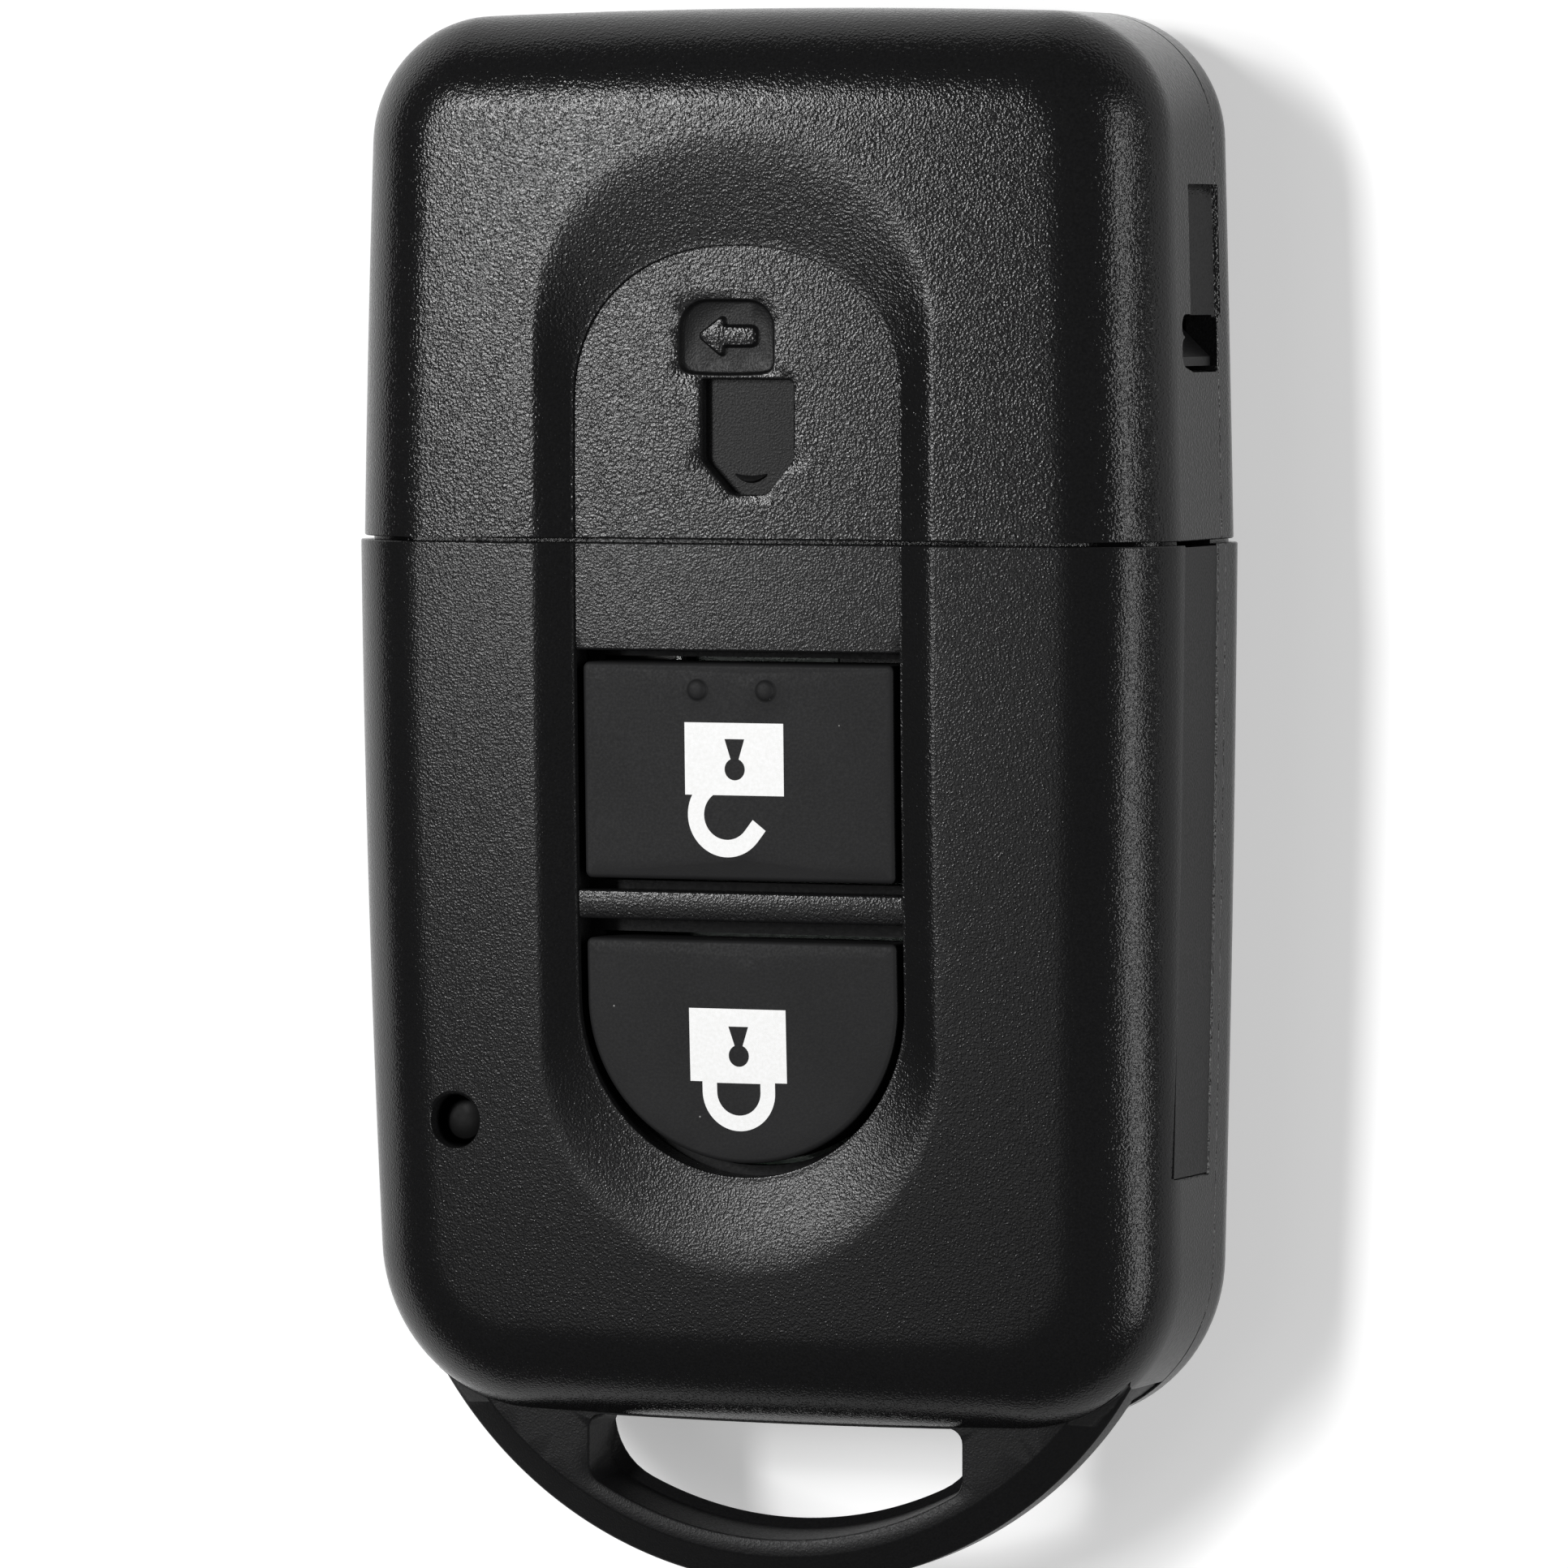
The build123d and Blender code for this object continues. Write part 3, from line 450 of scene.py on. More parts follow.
def band(skin, rows, last):
    """Adds the dish's rows and the crowned face round them. Gives that face's edges at the mouth."""
    skin.strip(rows)
    left = across(last[0], rows[0][0], 8)
    right = across(rows[0][-1], last[-1], 8)
    skin.cover([last + right[-2:0:-1] + rows[0][::-1] + left[-2:0:-1]], 0, BAND_SPACING)
    return left, right


def body_top(skin, casing, last):
    """Band, dish, land and key windows of the body. Gives the mouth's profile and the windows' lower loops."""
    upper = steps(casing.edge_y, UNLOCK_TOP_Y + WINDOW_RIM, 5)
    beside_unlock = steps(UNLOCK_TOP_Y, UNLOCK_BOTTOM_Y, 10)
    bar = steps(UNLOCK_BOTTOM_Y - WINDOW_RIM, LOCK_TOP_Y + WINDOW_RIM, 2)
    ys = upper + beside_unlock + bar + steps(LOCK_TOP_Y, LOWER_ARC_Y, 4)
    foot = (LAND_HALF, LOWER_ARC_Y, LOWER_ARC_Y - LAND_HALF)
    rows = dish_rows(foot, (DISH_HALF, DISH_LOWER_ARC_Y, DISH_BOTTOM_Y), ys, 2.0)
    left, right = band(skin, rows, last)
    side = rows[-1]
    wall_top = level(side, LAND_DEPTH + WINDOW_RIM)
    wall_foot = level(side, ROOF_DEPTH)

    def land_row(y, depth):
        return [(x, y, crown_z(y, depth)) for x in steps(-LAND_HALF, LAND_HALF, 30)]

    def rim(y, way):
        """Rows over a window's straight rim at y, which the land reaches from its side way."""
        rows = []
        for a in steps(0, pi / 2, 3):
            rows.append(land_row(y + way * WINDOW_RIM * (1 - sin(a)), LAND_DEPTH + WINDOW_RIM * (1 - cos(a))))
        rows.append(land_row(y, ROOF_DEPTH))
        skin.strip(rows)
        for end in (0, -1):
            skin.face([row[end] for row in rows[:-1]] + [land_row(y, LAND_DEPTH)[end]])
        return rows[-1]

    for land in (upper, bar):
        skin.strip([land_row(y, LAND_DEPTH) for y in land])
    count = len(side)
    first = len(upper)
    second = first + len(beside_unlock) - 1
    third = second + len(bar) + 1
    for a, b in ((first, second + 1), (third, count - third), (count - 1 - second, count - first)):
        skin.strip([side[a:b], wall_top[a:b], wall_foot[a:b]])
    top, bottom, lock_top = rim(UNLOCK_TOP_Y, 1), rim(UNLOCK_BOTTOM_Y, -1), rim(LOCK_TOP_Y, 1)
    unlock_loop = wall_foot[first:second + 1] + bottom[1:-1] + wall_foot[count - 1 - second:count - first]
    lock_loop = wall_foot[third:count - third] + lock_top[-2:0:-1]
    profile = left + mouth_profile(rows[1:], land_row(casing.edge_y, LAND_DEPTH)[1:-1]) + right
    return profile, [unlock_loop + top[-2:0:-1], lock_loop]


# Cap features
POCKET_X = (-2.66, 1.82)
POCKET_Y = (19.23, 22.42)
POCKET_DEPTH = 0.28
POCKET_R = 1.25
ARROW_TIP = (-1.79, 20.85)
SHIELD_X = (-1.6, 2.77)
SHIELD_Y = (13.8, 15.36, 18.9)


def arc_through(a, b, c, count):
    """Points on the circle through three points, from a to c."""
    (ax, ay), (bx, by), (cx, cy) = a, b, c
    d = 2 * (ax * (by - cy) + bx * (cy - ay) + cx * (ay - by))
    a2, b2, c2 = ax * ax + ay * ay, bx * bx + by * by, cx * cx + cy * cy
    ux = (a2 * (by - cy) + b2 * (cy - ay) + c2 * (ay - by)) / d
    uy = (a2 * (cx - bx) + b2 * (ax - cx) + c2 * (bx - ax)) / d
    r = sqrt((ax - ux) ** 2 + (ay - uy) ** 2)
    angles = [atan2(y - uy, x - ux) for x, y in (a, b, c)]
    for i in (1, 2):
        while angles[i] - angles[i - 1] > pi:
            angles[i] -= 2 * pi
        while angles[i] - angles[i - 1] < -pi:
            angles[i] += 2 * pi
    return [(ux + r * cos(t), uy + r * sin(t)) for t in steps(angles[0], angles[2], count)]


def rounded(points, radii, count=5):
    """Closed polygon whose corners are rounded, each by its radius."""
    out = []
    total = len(points)
    for i, (point, radius) in enumerate(zip(points, radii)):
        here = Vector(point)
        before = (Vector(points[i - 1]) - here).normalized()
        after = (Vector(points[(i + 1) % total]) - here).normalized()
        if radius <= 0:
            out.append(tuple(point))
            continue
        half = before.angle(after) / 2
        reach = radius / np.tan(half)
        centre = here + (before + after).normalized() * radius / sin(half)
        a, b = here + before * reach, here + after * reach
        mid = centre + (here - centre).normalized() * radius
        out += arc_through(tuple(a), tuple(mid), tuple(b), count)
    return out


def grown(loop, by):
    """Closed loop moved outwards by a small distance."""
    flat = np.array([p[:2] for p in loop])
    following = np.roll(flat, -1, axis=0)
    turn = 1 if np.sum(flat[:, 0] * following[:, 1] - following[:, 0] * flat[:, 1]) > 0 else -1
    both = 0
    for step in (flat - np.roll(flat, 1, axis=0), following - flat):
        unit = step / np.maximum(np.linalg.norm(step, axis=1), 1e-9)[:, None]
        both = both + np.stack([unit[:, 1], -unit[:, 0]], axis=1) * turn
    scale = 2 / np.maximum(np.sum(both * both, axis=1), 0.6)
    return [tuple(p) for p in flat + both * scale[:, None] * by]


def shield_loop():
    """Shield with a flat top, straight sides and a blunt rounded point."""
    x0, x1 = SHIELD_X
    low, shoulder, top = SHIELD_Y
    corners = [(x0, top), (x0, shoulder), (x0 + 1.45, low), (x1 - 1.3, low), (x1, shoulder), (x1, top)]
    return rounded(corners, [0.12, 0.5, 0.75, 0.75, 0.5, 0.3], 6)


def pocket_loop():
    """Pocket with large upper corners and a slightly bowed lower edge."""
    (x0, x1), (y0, y1) = POCKET_X, POCKET_Y
    corners = rounded([(x0, y1), (x0, y0), (x1, y0), (x1, y1)], [POCKET_R, 0.45, 0.45, POCKET_R])
    low = [(x, y0 - 0.09 * (1 - ((2 * x - x0 - x1) / (x1 - x0)) ** 2)) for x in steps(x0 + 0.55, x1 - 0.55, 8)]
    split = len(corners) // 2
    return corners[:split] + low + corners[split:]


def arrow_loop():
    """Arrow that points left, with a rounded tail."""
    tx, ty = ARROW_TIP
    neck_x, tail_x = tx + 1.17, tx + 2.75
    points = [(tx, ty), (neck_x, ty - 0.93), (neck_x, ty - 0.42), (tail_x, ty - 0.42), (tail_x, ty + 0.38),
              (neck_x, ty + 0.38), (neck_x, ty + 0.85)]
    return rounded(points, [0.12, 0.12, 0.18, 0.3, 0.3, 0.18, 0.1], 4)


def loop_rim(skin, loop, rows):
    """Closed rows round a loop, each (growth, depth under the crown)."""
    made = [level(grown(loop, by) if by else loop, depth) for by, depth in rows]
    skin.strip(made, closed=True)
    return made


def cap_top(skin, casing, last):
    """Band, dish and land of the cap, with the arrow's pocket and the shield window."""
    rows = dish_rows((LAND_HALF, ARCH_SPRING_Y, ARCH_TOP_Y), (DISH_HALF, DISH_SPRING_Y, DISH_TOP_Y),
                     steps(casing.edge_y, ARCH_SPRING_Y, 6), ARCH_POWER)
    left, right = band(skin, rows, last)
    floor = LAND_DEPTH + POCKET_DEPTH
    rolled = ((0.1, LAND_DEPTH), (0.05, LAND_DEPTH + 0.02), (0.01, LAND_DEPTH + 0.09))
    shield = loop_rim(skin, shield_loop(), (*rolled, (0, LAND_DEPTH + 0.2), (0, ROOF_DEPTH)))
    skin.finish = 1
    bottom = ((-0.02, floor - 0.1), (-0.07, floor - 0.03), (-0.15, floor))
    pocket = loop_rim(skin, pocket_loop(), (*rolled, *bottom))
    shaft = (0.02, LAND_DEPTH + 0.06)
    foot = loop_rim(skin, arrow_loop(), ((0.13, floor), (0.09, floor - 0.03), (0.06, floor - 0.1), shaft))[0]
    skin.cover([pocket[-1], foot], floor)
    skin.finish = 0
    arrow = loop_rim(skin, arrow_loop(), (shaft, (-0.02, LAND_DEPTH + 0.01), (-0.06, LAND_DEPTH)))
    land_mouth = across(rows[-1][-1], rows[-1][0], 30)
    skin.cover([rows[-1] + land_mouth[1:-1], shield[0], pocket[0]], LAND_DEPTH, TOP_SPACING)
    skin.cover([arrow[-1]], LAND_DEPTH)
    return left + mouth_profile(rows[1:], land_mouth[-2:0:-1]) + right, [shield[-1]]


def front_moulding(name, casing, top):
    skin = Skin()
    outer, inner = casing.front_rows()
    profile, holes = top(skin, casing, outer[-1])
    lip = casing.lip_profile(crown_z(casing.mouth_y, LIP_DEPTH), LIP_ROUND, 1)
    casing.close(skin, outer, inner, profile, 1, holes, lambda y: crown_z(y, ROOF_DEPTH), lip)
    return skin.build(name)


def rear_moulding(name, casing):
    skin = Skin()
    outer, inner = casing.rear_rows()
    profile = across(outer[-1][0], outer[-1][-1], 30)
    skin.fill([outer[-1] + profile[-2:0:-1]], lambda u, v: (u, v, 0.0))
    lip = casing.lip_profile(REAR_LIP_Z, REAR_LIP_ROUND, -1)
    casing.close(skin, outer, inner, profile, -1, [], lambda y: FLOOR_Z, lip)
    return skin.build(name)


def block(name, x, y, z, bevel=0.0):
    """Closed box with bevelled edges, for carving or as a small inner feature."""
    bm = bmesh.new()
    bmesh.ops.create_cube(bm, size=1.0)
    bmesh.ops.scale(bm, vec=[b - a for a, b in (x, y, z)], verts=bm.verts)
    bmesh.ops.translate(bm, vec=[(a + b) / 2 for a, b in (x, y, z)], verts=bm.verts)
    if bevel:
        bmesh.ops.bevel(bm, geom=bm.edges, offset=bevel, segments=3, profile=0.5, affect="EDGES")
    return in_metres(name, bpy.data.meshes.new(name), bm)


def turned(name, x, y, profile, count=64):
    """Solid of revolution about an upright axis, closed on that axis; profile is (radius, z) from one end."""
    skin = Skin()
    skin.tube([[(x + r * cos(a), y + r * sin(a), z) for a in steps(0, 2 * pi, count)[:-1]] for r, z in profile])
    return skin.build(name)


def prism(name, loop, z):
    """Upright prism of a closed plan loop."""
    skin = Skin()
    skin.strip([[(x, y, at) for x, y in loop] for at in z], closed=True)
    for at in z:
        skin.fill([loop], lambda u, v: (u, v, at))
    return skin.build(name)


def shaped(obj, cut=(), added=()):
    """Adds the solids of one list to obj, subtracts those of the other, and removes them from the scene."""
    for operation, tools in (("UNION", added), ("DIFFERENCE", cut)):
        for tool in tools:
            step = obj.modifiers.new(tool.name, "BOOLEAN")
            step.operation = operation
            step.solver = "EXACT"
            step.object = tool
    graph = bpy.context.evaluated_depsgraph_get()
    mesh = bpy.data.meshes.new_from_object(obj.evaluated_get(graph))
    obj.modifiers.clear()
    old = obj.data
    obj.data = mesh
    mesh.name = old.name + "_mesh"
    bpy.data.meshes.remove(old)
    for tool in [*added, *cut]:
        bpy.data.objects.remove(tool)
    return smooth(obj)


# Right side
BAR_BOTTOM_Y = -16.4
BAR_Z = (5.0, 9.2)
BAR_DEPTH = 1.25
LEAF_X = (16.95, 17.75)
LEAF_BOTTOM_Y = 5.0
WINDOW_Y = (19.3, 21.75)
WINDOW_Z = (3.85, 8.5)
WINDOW_CUSP = (20.78, 7.93)
RECESS_Y = (21.65, 27.6)
RECESS_Z = (3.6, 7.35)
RECESS_DEPTH = 1.2
RECESS_RUN_OUT = 1.5
FIT = 0.05
FLARE = 0.09
OUTSIDE = 0.5                # how far a cutter stands out of the side that it cuts


def along_side(name, casing, stations, section):
    """Cutter along the right side; a station is (y, deepest), and the section's points are (depth, z)."""
    rows = []
    for y, deepest in stations:
        x, _, nx, ny = casing.side(y)
        rows.append([(x - nx * min(d, deepest), y - ny * min(d, deepest), z) for d, z in section])
    skin = Skin()
    skin.tube(rows)
    return skin.build(name)


def bar_cutter():
    """Slot of the latch bar, with a small bevel round its mouth."""
    low, high = wider(BAR_Z, FIT)
    section = [(-OUTSIDE, low - FLARE - OUTSIDE), (FLARE, low), (BAR_DEPTH, low), (BAR_DEPTH, high),
               (FLARE, high), (-OUTSIDE, high + FLARE + OUTSIDE)]
    y = BAR_BOTTOM_Y - FIT
    deepest = ((y - FLARE - OUTSIDE, 0.1 - OUTSIDE), (y - FLARE, 0.0), (y, FLARE), (y, BAR_DEPTH),
               (PARTING_Y + 1, BAR_DEPTH))
    return along_side("bar_cutter", BODY, deepest, section)


def recess_cutter():
    """Scoop behind the window: its floor rises to the rear, and its upper end runs out in a round."""
    low, high = RECESS_Z
    deep = RECESS_DEPTH
    section = [(-OUTSIDE, low - 0.35), (0.22, low + 0.2), (0.95, high - 1.5), (deep, high - 0.9),
               (deep, high - 0.25), (1.05, high - 0.05), (0.1, high), (-OUTSIDE, high + 0.3)]
    y = RECESS_Y[1] - RECESS_RUN_OUT
    stations = [(RECESS_Y[0], deep), (y, deep)]
    stations += [(y + RECESS_RUN_OUT * sin(a), deep - 1.6 * (1 - cos(a))) for a in steps(0, pi / 2, 8)[1:]]
    return along_side("recess_cutter", CAP, stations, section)


def window_cutter():
    """Prism of the window, bevelled at the side; its front edge has two lobes with a cusp between them."""
    (y0, y1), (z0, z1) = WINDOW_Y, WINDOW_Z
    cusp_y = WINDOW_CUSP[0]
    points = [(y0, z0), (y1, z0), (y1, z1), (cusp_y + 0.2, z1), WINDOW_CUSP, (cusp_y - 0.2, z1), (y0 + 0.3, z1),
              (y0, z1 - 1.3)]
    loop = rounded(points, [0.6, 0.1, 0.5, 0.3, 0.1, 0.3, 0.5, 0.5], 6)
    x = CAP.side(sum(WINDOW_Y) / 2)[0]
    rows = [[(at, y, z) for y, z in (grown(loop, by) if by else loop)]
            for at, by in ((16.5, 0), (x - 0.12, 0), (x + 0.02, 0.08), (x + 3, 0.08))]
    skin = Skin()
    skin.strip(rows, closed=True)
    for row in (rows[0], rows[-1]):
        skin.fill([[(y, z) for _, y, z in row]], lambda u, v: (row[0][0], u, v))
    return skin.build("window_cutter")


# Posts, guides and holders inside the casings
POST_R = 0.9
POST_X = (-15.95, 15.05)
POST_Y = (-22.2, 8.8)
POST_TOP_Z = 11.4
FRAME_Z = (4.6, 8.0)
SUNK = 0.2                   # how far a feature starts inside the floor that carries it
CELL_X = -6.2
CELL_Y = -6.0
CELL_ROOM_R = 10.2
CRADLE_WALL = 0.9
BLADE_X = 10.0
BLADE_SIDES = (BLADE_X - 4.0, BLADE_X + 4.0)
BLADE_Z = (2.4, 4.4)
BLADE_GAP = 0.1
TANG_SIDES = (BLADE_X - 4.8, BLADE_X + 4.8)
TANG_END_Y = 27.4
PIN_Y = 23.6
PIN_R = 1.0
SLIDER_X = (-3.6, 4.9)
SLIDER_Y = (12.9, 19.7)
SLIDER_Z = (11.4, 12.5)
SLIDER_TRAVEL = 1.5
ARM_Y = (19.0, 20.8)
SPRING_X = -8.7
SPRING_Y = 16.3
SPRING_Z = 11.75
SPRING_ROOM = 0.79
SPRING_TURNS = 6
SPRING_WIRE_R = 0.13
LED_X = -14.0
LED_Y = -14.55
LED_HOLE_R = 1.2
LED_HOLE_FOOT_Z = 9
LENS_R = 0.95
LENS_DEPTH = 1.0
LOOP_Z = (5.85, 8.75)
LOOP_CENTRE_Y = -15.79
LOOP_R = 19.65
ROOT_Y = -24.35
ROOT_Z = 4.05


def led_lens():
    """Domed lens that stands well below the front, in the dark of its hole."""
    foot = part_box("led_lens")[0][2] / MM
    top = crown_z(LED_Y) - LED_X ** 2 / (2 * BULGE_R) - LENS_DEPTH
    profile = ((LENS_R, foot), (LENS_R, top - 0.3), (LENS_R - 0.08, top - 0.14), (LENS_R - 0.3, top - 0.04),
               (0.3, top), (0.05, top + 0.01))
    return turned("led_lens_dome", LED_X, LED_Y, profile)


def coil_spring():
    """Return spring of the slider, as long as its CAD solid."""
    (x0, y0, z0), (x1, y1, z1) = [[c / MM for c in corner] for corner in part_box("slider_spring")]
    mean_r = (y1 - y0) / 2 - SPRING_WIRE_R
    rows = []
    for share in steps(0, 1, SPRING_TURNS * 20):
        turn = 2 * pi * SPRING_TURNS * share
        x = x0 + SPRING_WIRE_R + (x1 - x0 - 2 * SPRING_WIRE_R) * share
        out = Vector((0, cos(turn), sin(turn)))
        centre = Vector((x, (y0 + y1) / 2, (z0 + z1) / 2)) + out * mean_r
        rows.append([tuple(centre + out * (SPRING_WIRE_R * cos(a)) + Vector((SPRING_WIRE_R * sin(a), 0, 0)))
                     for a in steps(0, 2 * pi, 8)[:-1]])
    skin = Skin()
    skin.tube(rows)
    return skin.build("slider_coil_spring")


def loop_arc(r, cut_y, count):
    """Arc of the loop's outline below cut_y, from left to right, as (x, y)."""
    half = asin((LOOP_CENTRE_Y - cut_y) / r)
    return [(r * cos(a), LOOP_CENTRE_Y + r * sin(a)) for a in steps(pi + half, 2 * pi - half, count)]


def posts(z0, z1):
    return [turned("post", x, y, ((POST_R, z0), (POST_R, z1)), 24) for x in POST_X for y in POST_Y]


def body_front():
    obj = front_moulding("body_front_moulding", BODY, body_top)
    flare = ((0, -0.14), (0.06, -0.04), (0.22, 0.1), (0.3, 0.5))
    led = turned("led_cutter", LED_X, LED_Y, [(LED_HOLE_R, LED_HOLE_FOOT_Z)]
                 + [(LED_HOLE_R + out, crown_z(LED_Y) + up) for out, up in flare])
    wall = block("bar_wall", (LEAF_X[0] - 0.85, 18.6), (BAR_BOTTOM_Y - 1.4, 11.5),
                 (SEAM_Z + 0.02, BAR_Z[1] + 1.0))
    leaf_room = block("leaf_room", (LEAF_X[0] - 0.15, 19), (LEAF_BOTTOM_Y - FIT, 13), wider(BAR_Z, FIT))
    root = prism("root_room", loop_arc(LOOP_R + FIT, ROOT_Y + FIT, 96), (SEAM_Z - 1, LOOP_Z[1] + FIT))
    return shaped(obj, [led, bar_cutter(), leaf_room, root], [wall, *posts(FRAME_Z[1], POST_TOP_Z)])


def slider_guide():
    """Guide box under the cap's front and the room in it for the slider, its spring and its arm."""
    left, right = SLIDER_X
    guide = block("guide", (SPRING_X - 0.9, right + 1.0), wider(SLIDER_Y, 0.8),
                  (SLIDER_Z[0] - 0.7, crown_z(PARTING_Y, ROOF_DEPTH) + 0.1), 0.1)
    x = (left - SLIDER_TRAVEL - 0.15, right + 0.15)
    plate = block("plate_room", x, wider(SLIDER_Y, 0.1), wider(SLIDER_Z, 0.1))
    below = block("opening", x, wider(SLIDER_Y, -0.9), (8, SLIDER_Z[1]))
    coil = block("spring_room", (SPRING_X, 0), wider((SPRING_Y, SPRING_Y), SPRING_ROOM),
                 wider((SPRING_Z, SPRING_Z), SPRING_ROOM))
    arm = block("arm_room", (right - 1.6 - SLIDER_TRAVEL, right + 3), wider(ARM_Y, 0.15), (8, SLIDER_Z[0]))
    return guide, [plate, below, coil, arm]


def recess_wall(z0, z1):
    """Thicker wall that backs the recess."""
    return block("recess_wall", (17.3, 18.5), (RECESS_Y[0] - 0.1, RECESS_Y[1] + 1.1), (z0, z1))


def cap_front():
    obj = front_moulding("cap_front_moulding", CAP, cap_top)
    guide, rooms = slider_guide()
    return shaped(obj, [*rooms, window_cutter(), recess_cutter()],
                  [guide, recess_wall(SEAM_Z + 0.02, RECESS_Z[1] + 1.1)])


def body_rear():
    obj = rear_moulding("body_rear_moulding", BODY)
    left, right = wider(BLADE_SIDES, BLADE_GAP)
    y = (-26.0, 10.1)
    foot_z = FLOOR_Z - SUNK
    rails = [block("rail", x, y, (foot_z, SEAM_Z - 0.02), 0.08)
             for x in ((left - 0.5, left), (right, right + 0.5))]
    bed = block("blade_bed", wider((left, right), 0.2), y, (foot_z, BLADE_Z[0] - FIT))
    cradle_r = CELL_ROOM_R + CRADLE_WALL
    cradle = turned("cradle", CELL_X, CELL_Y, ((cradle_r, foot_z), (cradle_r, FRAME_Z[0] - 0.2)), 96)
    trim = block("cradle_trim", (left - 0.6, 18), (-30, 30), (0.5, 6))
    cradle = shaped(cradle, [cell_room(0.5, 6), trim])
    return shaped(obj, [], [cradle, bed, *rails, *posts(foot_z, FRAME_Z[0])])


def cell_room(z0, z1):
    return turned("cell_room", CELL_X, CELL_Y, ((CELL_ROOM_R, z0), (CELL_ROOM_R, z1)), 96)


def cap_rear():
    obj = rear_moulding("cap_rear_moulding", CAP)
    holder = block("tang_holder", wider(TANG_SIDES, 1.6), (19.0, TANG_END_Y + 1.4),
                   (FLOOR_Z - SUNK, BLADE_Z[1] + 1.6), 0.3)
    z = wider(BLADE_Z, FIT)
    tang = block("tang_room", wider(TANG_SIDES, FIT), (19.7, TANG_END_Y + FIT), z)
    blade = block("blade_room", wider(BLADE_SIDES, BLADE_GAP), (13, 20.4), z)
    pin = turned("pin_hole", BLADE_X, PIN_Y, ((PIN_R + FIT, 1.5), (PIN_R + FIT, 6.5)), 32)
    return shaped(obj, [tang, blade, pin, recess_cutter()],
                  [holder, recess_wall(RECESS_Z[0] - 1.1, SEAM_Z - 0.02)])


# Keys
KEY_SIDE_GAP = 0.33
KEY_END_GAP = 0.52
LOCK_TOP_GAP = 0.85
LOCK_ARC_GAP = 0.62
KEY_BASE_Z = 9.8
KEY_ROUND = 0.22
KEY_CORNER_R = 0.3
DOT_R = 0.45
DOTS = ((-1.87, 5.1), (1.42, 5.1))
DOME = ((1.25, 0.0), (1.1, 0.012), (1.0, 0.05), (0.94, 0.11), (0.82, 0.165), (0.6, 0.205), (0.3, 0.225),
        (0.02, 0.23))            # (share of the dot's radius, rise)


def square_key(inset):
    """Plan of the unlock key, drawn in by inset."""
    half = LAND_HALF - KEY_SIDE_GAP - inset
    top, bottom = UNLOCK_TOP_Y - KEY_END_GAP - inset, UNLOCK_BOTTOM_Y + KEY_END_GAP + inset
    return rounded([(-half, top), (-half, bottom), (half, bottom), (half, top)], [KEY_CORNER_R - inset] * 4)


def arched_key(inset):
    """Plan of the lock key, drawn in by inset; its lower end is round."""
    half = LAND_HALF - KEY_SIDE_GAP - inset
    top = LOCK_TOP_Y - LOCK_TOP_GAP - inset
    depth = LAND_HALF - LOCK_ARC_GAP - inset
    bend = [(-half * cos(a), LOWER_ARC_Y - depth * sin(a)) for a in steps(0, pi, 64)]
    corners = rounded([(-half, top), (-half, LOWER_ARC_Y), (half, LOWER_ARC_Y), (half, top)],
                      [KEY_CORNER_R - inset, 0, 0, KEY_CORNER_R - inset])
    split = corners.index((-half, LOWER_ARC_Y))
    return corners[:split] + bend + corners[split + 2:]


def key_mesh(name, plan, dots=()):
    """Silicone key: upright sides, a rounded edge, a top that follows the land, and any raised dots."""
    skin = Skin()
    rows = [[(x, y, KEY_BASE_Z) for x, y in plan(0)]]
    for inset, rise in quarter(KEY_ROUND, 6):
        rows.append(level(plan(inset), LAND_DEPTH + KEY_ROUND - rise))
    skin.strip(rows, closed=True)
    skin.fill([rows[0]], lambda u, v: (u, v, KEY_BASE_Z))
    holes = []
    for x, y in dots:
        domes = []
        for reach, rise in DOME:
            flat = [(x + DOT_R * reach * cos(a), y + DOT_R * reach * sin(a)) for a in steps(0, 2 * pi, 28)[:-1]]
            domes.append([(u, v, crown_z(v, LAND_DEPTH) + rise) for u, v in flat])
        skin.strip(domes, closed=True)
        skin.face(domes[-1])
        holes.append(domes[0])
    skin.cover([rows[-1]] + holes, LAND_DEPTH, TOP_SPACING)
    return skin.build(name)


# Printed padlocks
PRINT_RISE = 0.015
PRINT_DEPTH = 0.05
KEYHOLE_HALVES = (0.49, 0.20, 0.48)      # half widths of the round, the throat and the brim


def arc(x, y, r, a, b, count):
    return [(x + r * cos(t), y + r * sin(t)) for t in steps(a, b, count)]


def printed(name, outer, holes):
    """Thin layer of ink on a key's top."""
    skin = Skin()
    top, foot = LAND_DEPTH - PRINT_RISE, LAND_DEPTH + PRINT_DEPTH
    loops = [outer] + holes
    for depth in (top, foot):
        skin.cover([level(loop, depth) for loop in loops], depth, 0.5)
    for loop in loops:
        skin.strip([level(loop, top), level(loop, foot)], closed=True)
    return skin.build(name, merge=0.0005)


def keyhole(x, round_y, throat_y, brim_y):
    """Round hole with a slot that widens upwards."""
    r, throat, brim = KEYHOLE_HALVES
    spread = asin(throat / r)
    bend = [(x + r * sin(a), round_y + r * cos(a)) for a in steps(spread, 2 * pi - spread, 24)]
    return bend + [(x - throat, throat_y), (x - brim, brim_y), (x + brim, brim_y), (x + throat, throat_y)]


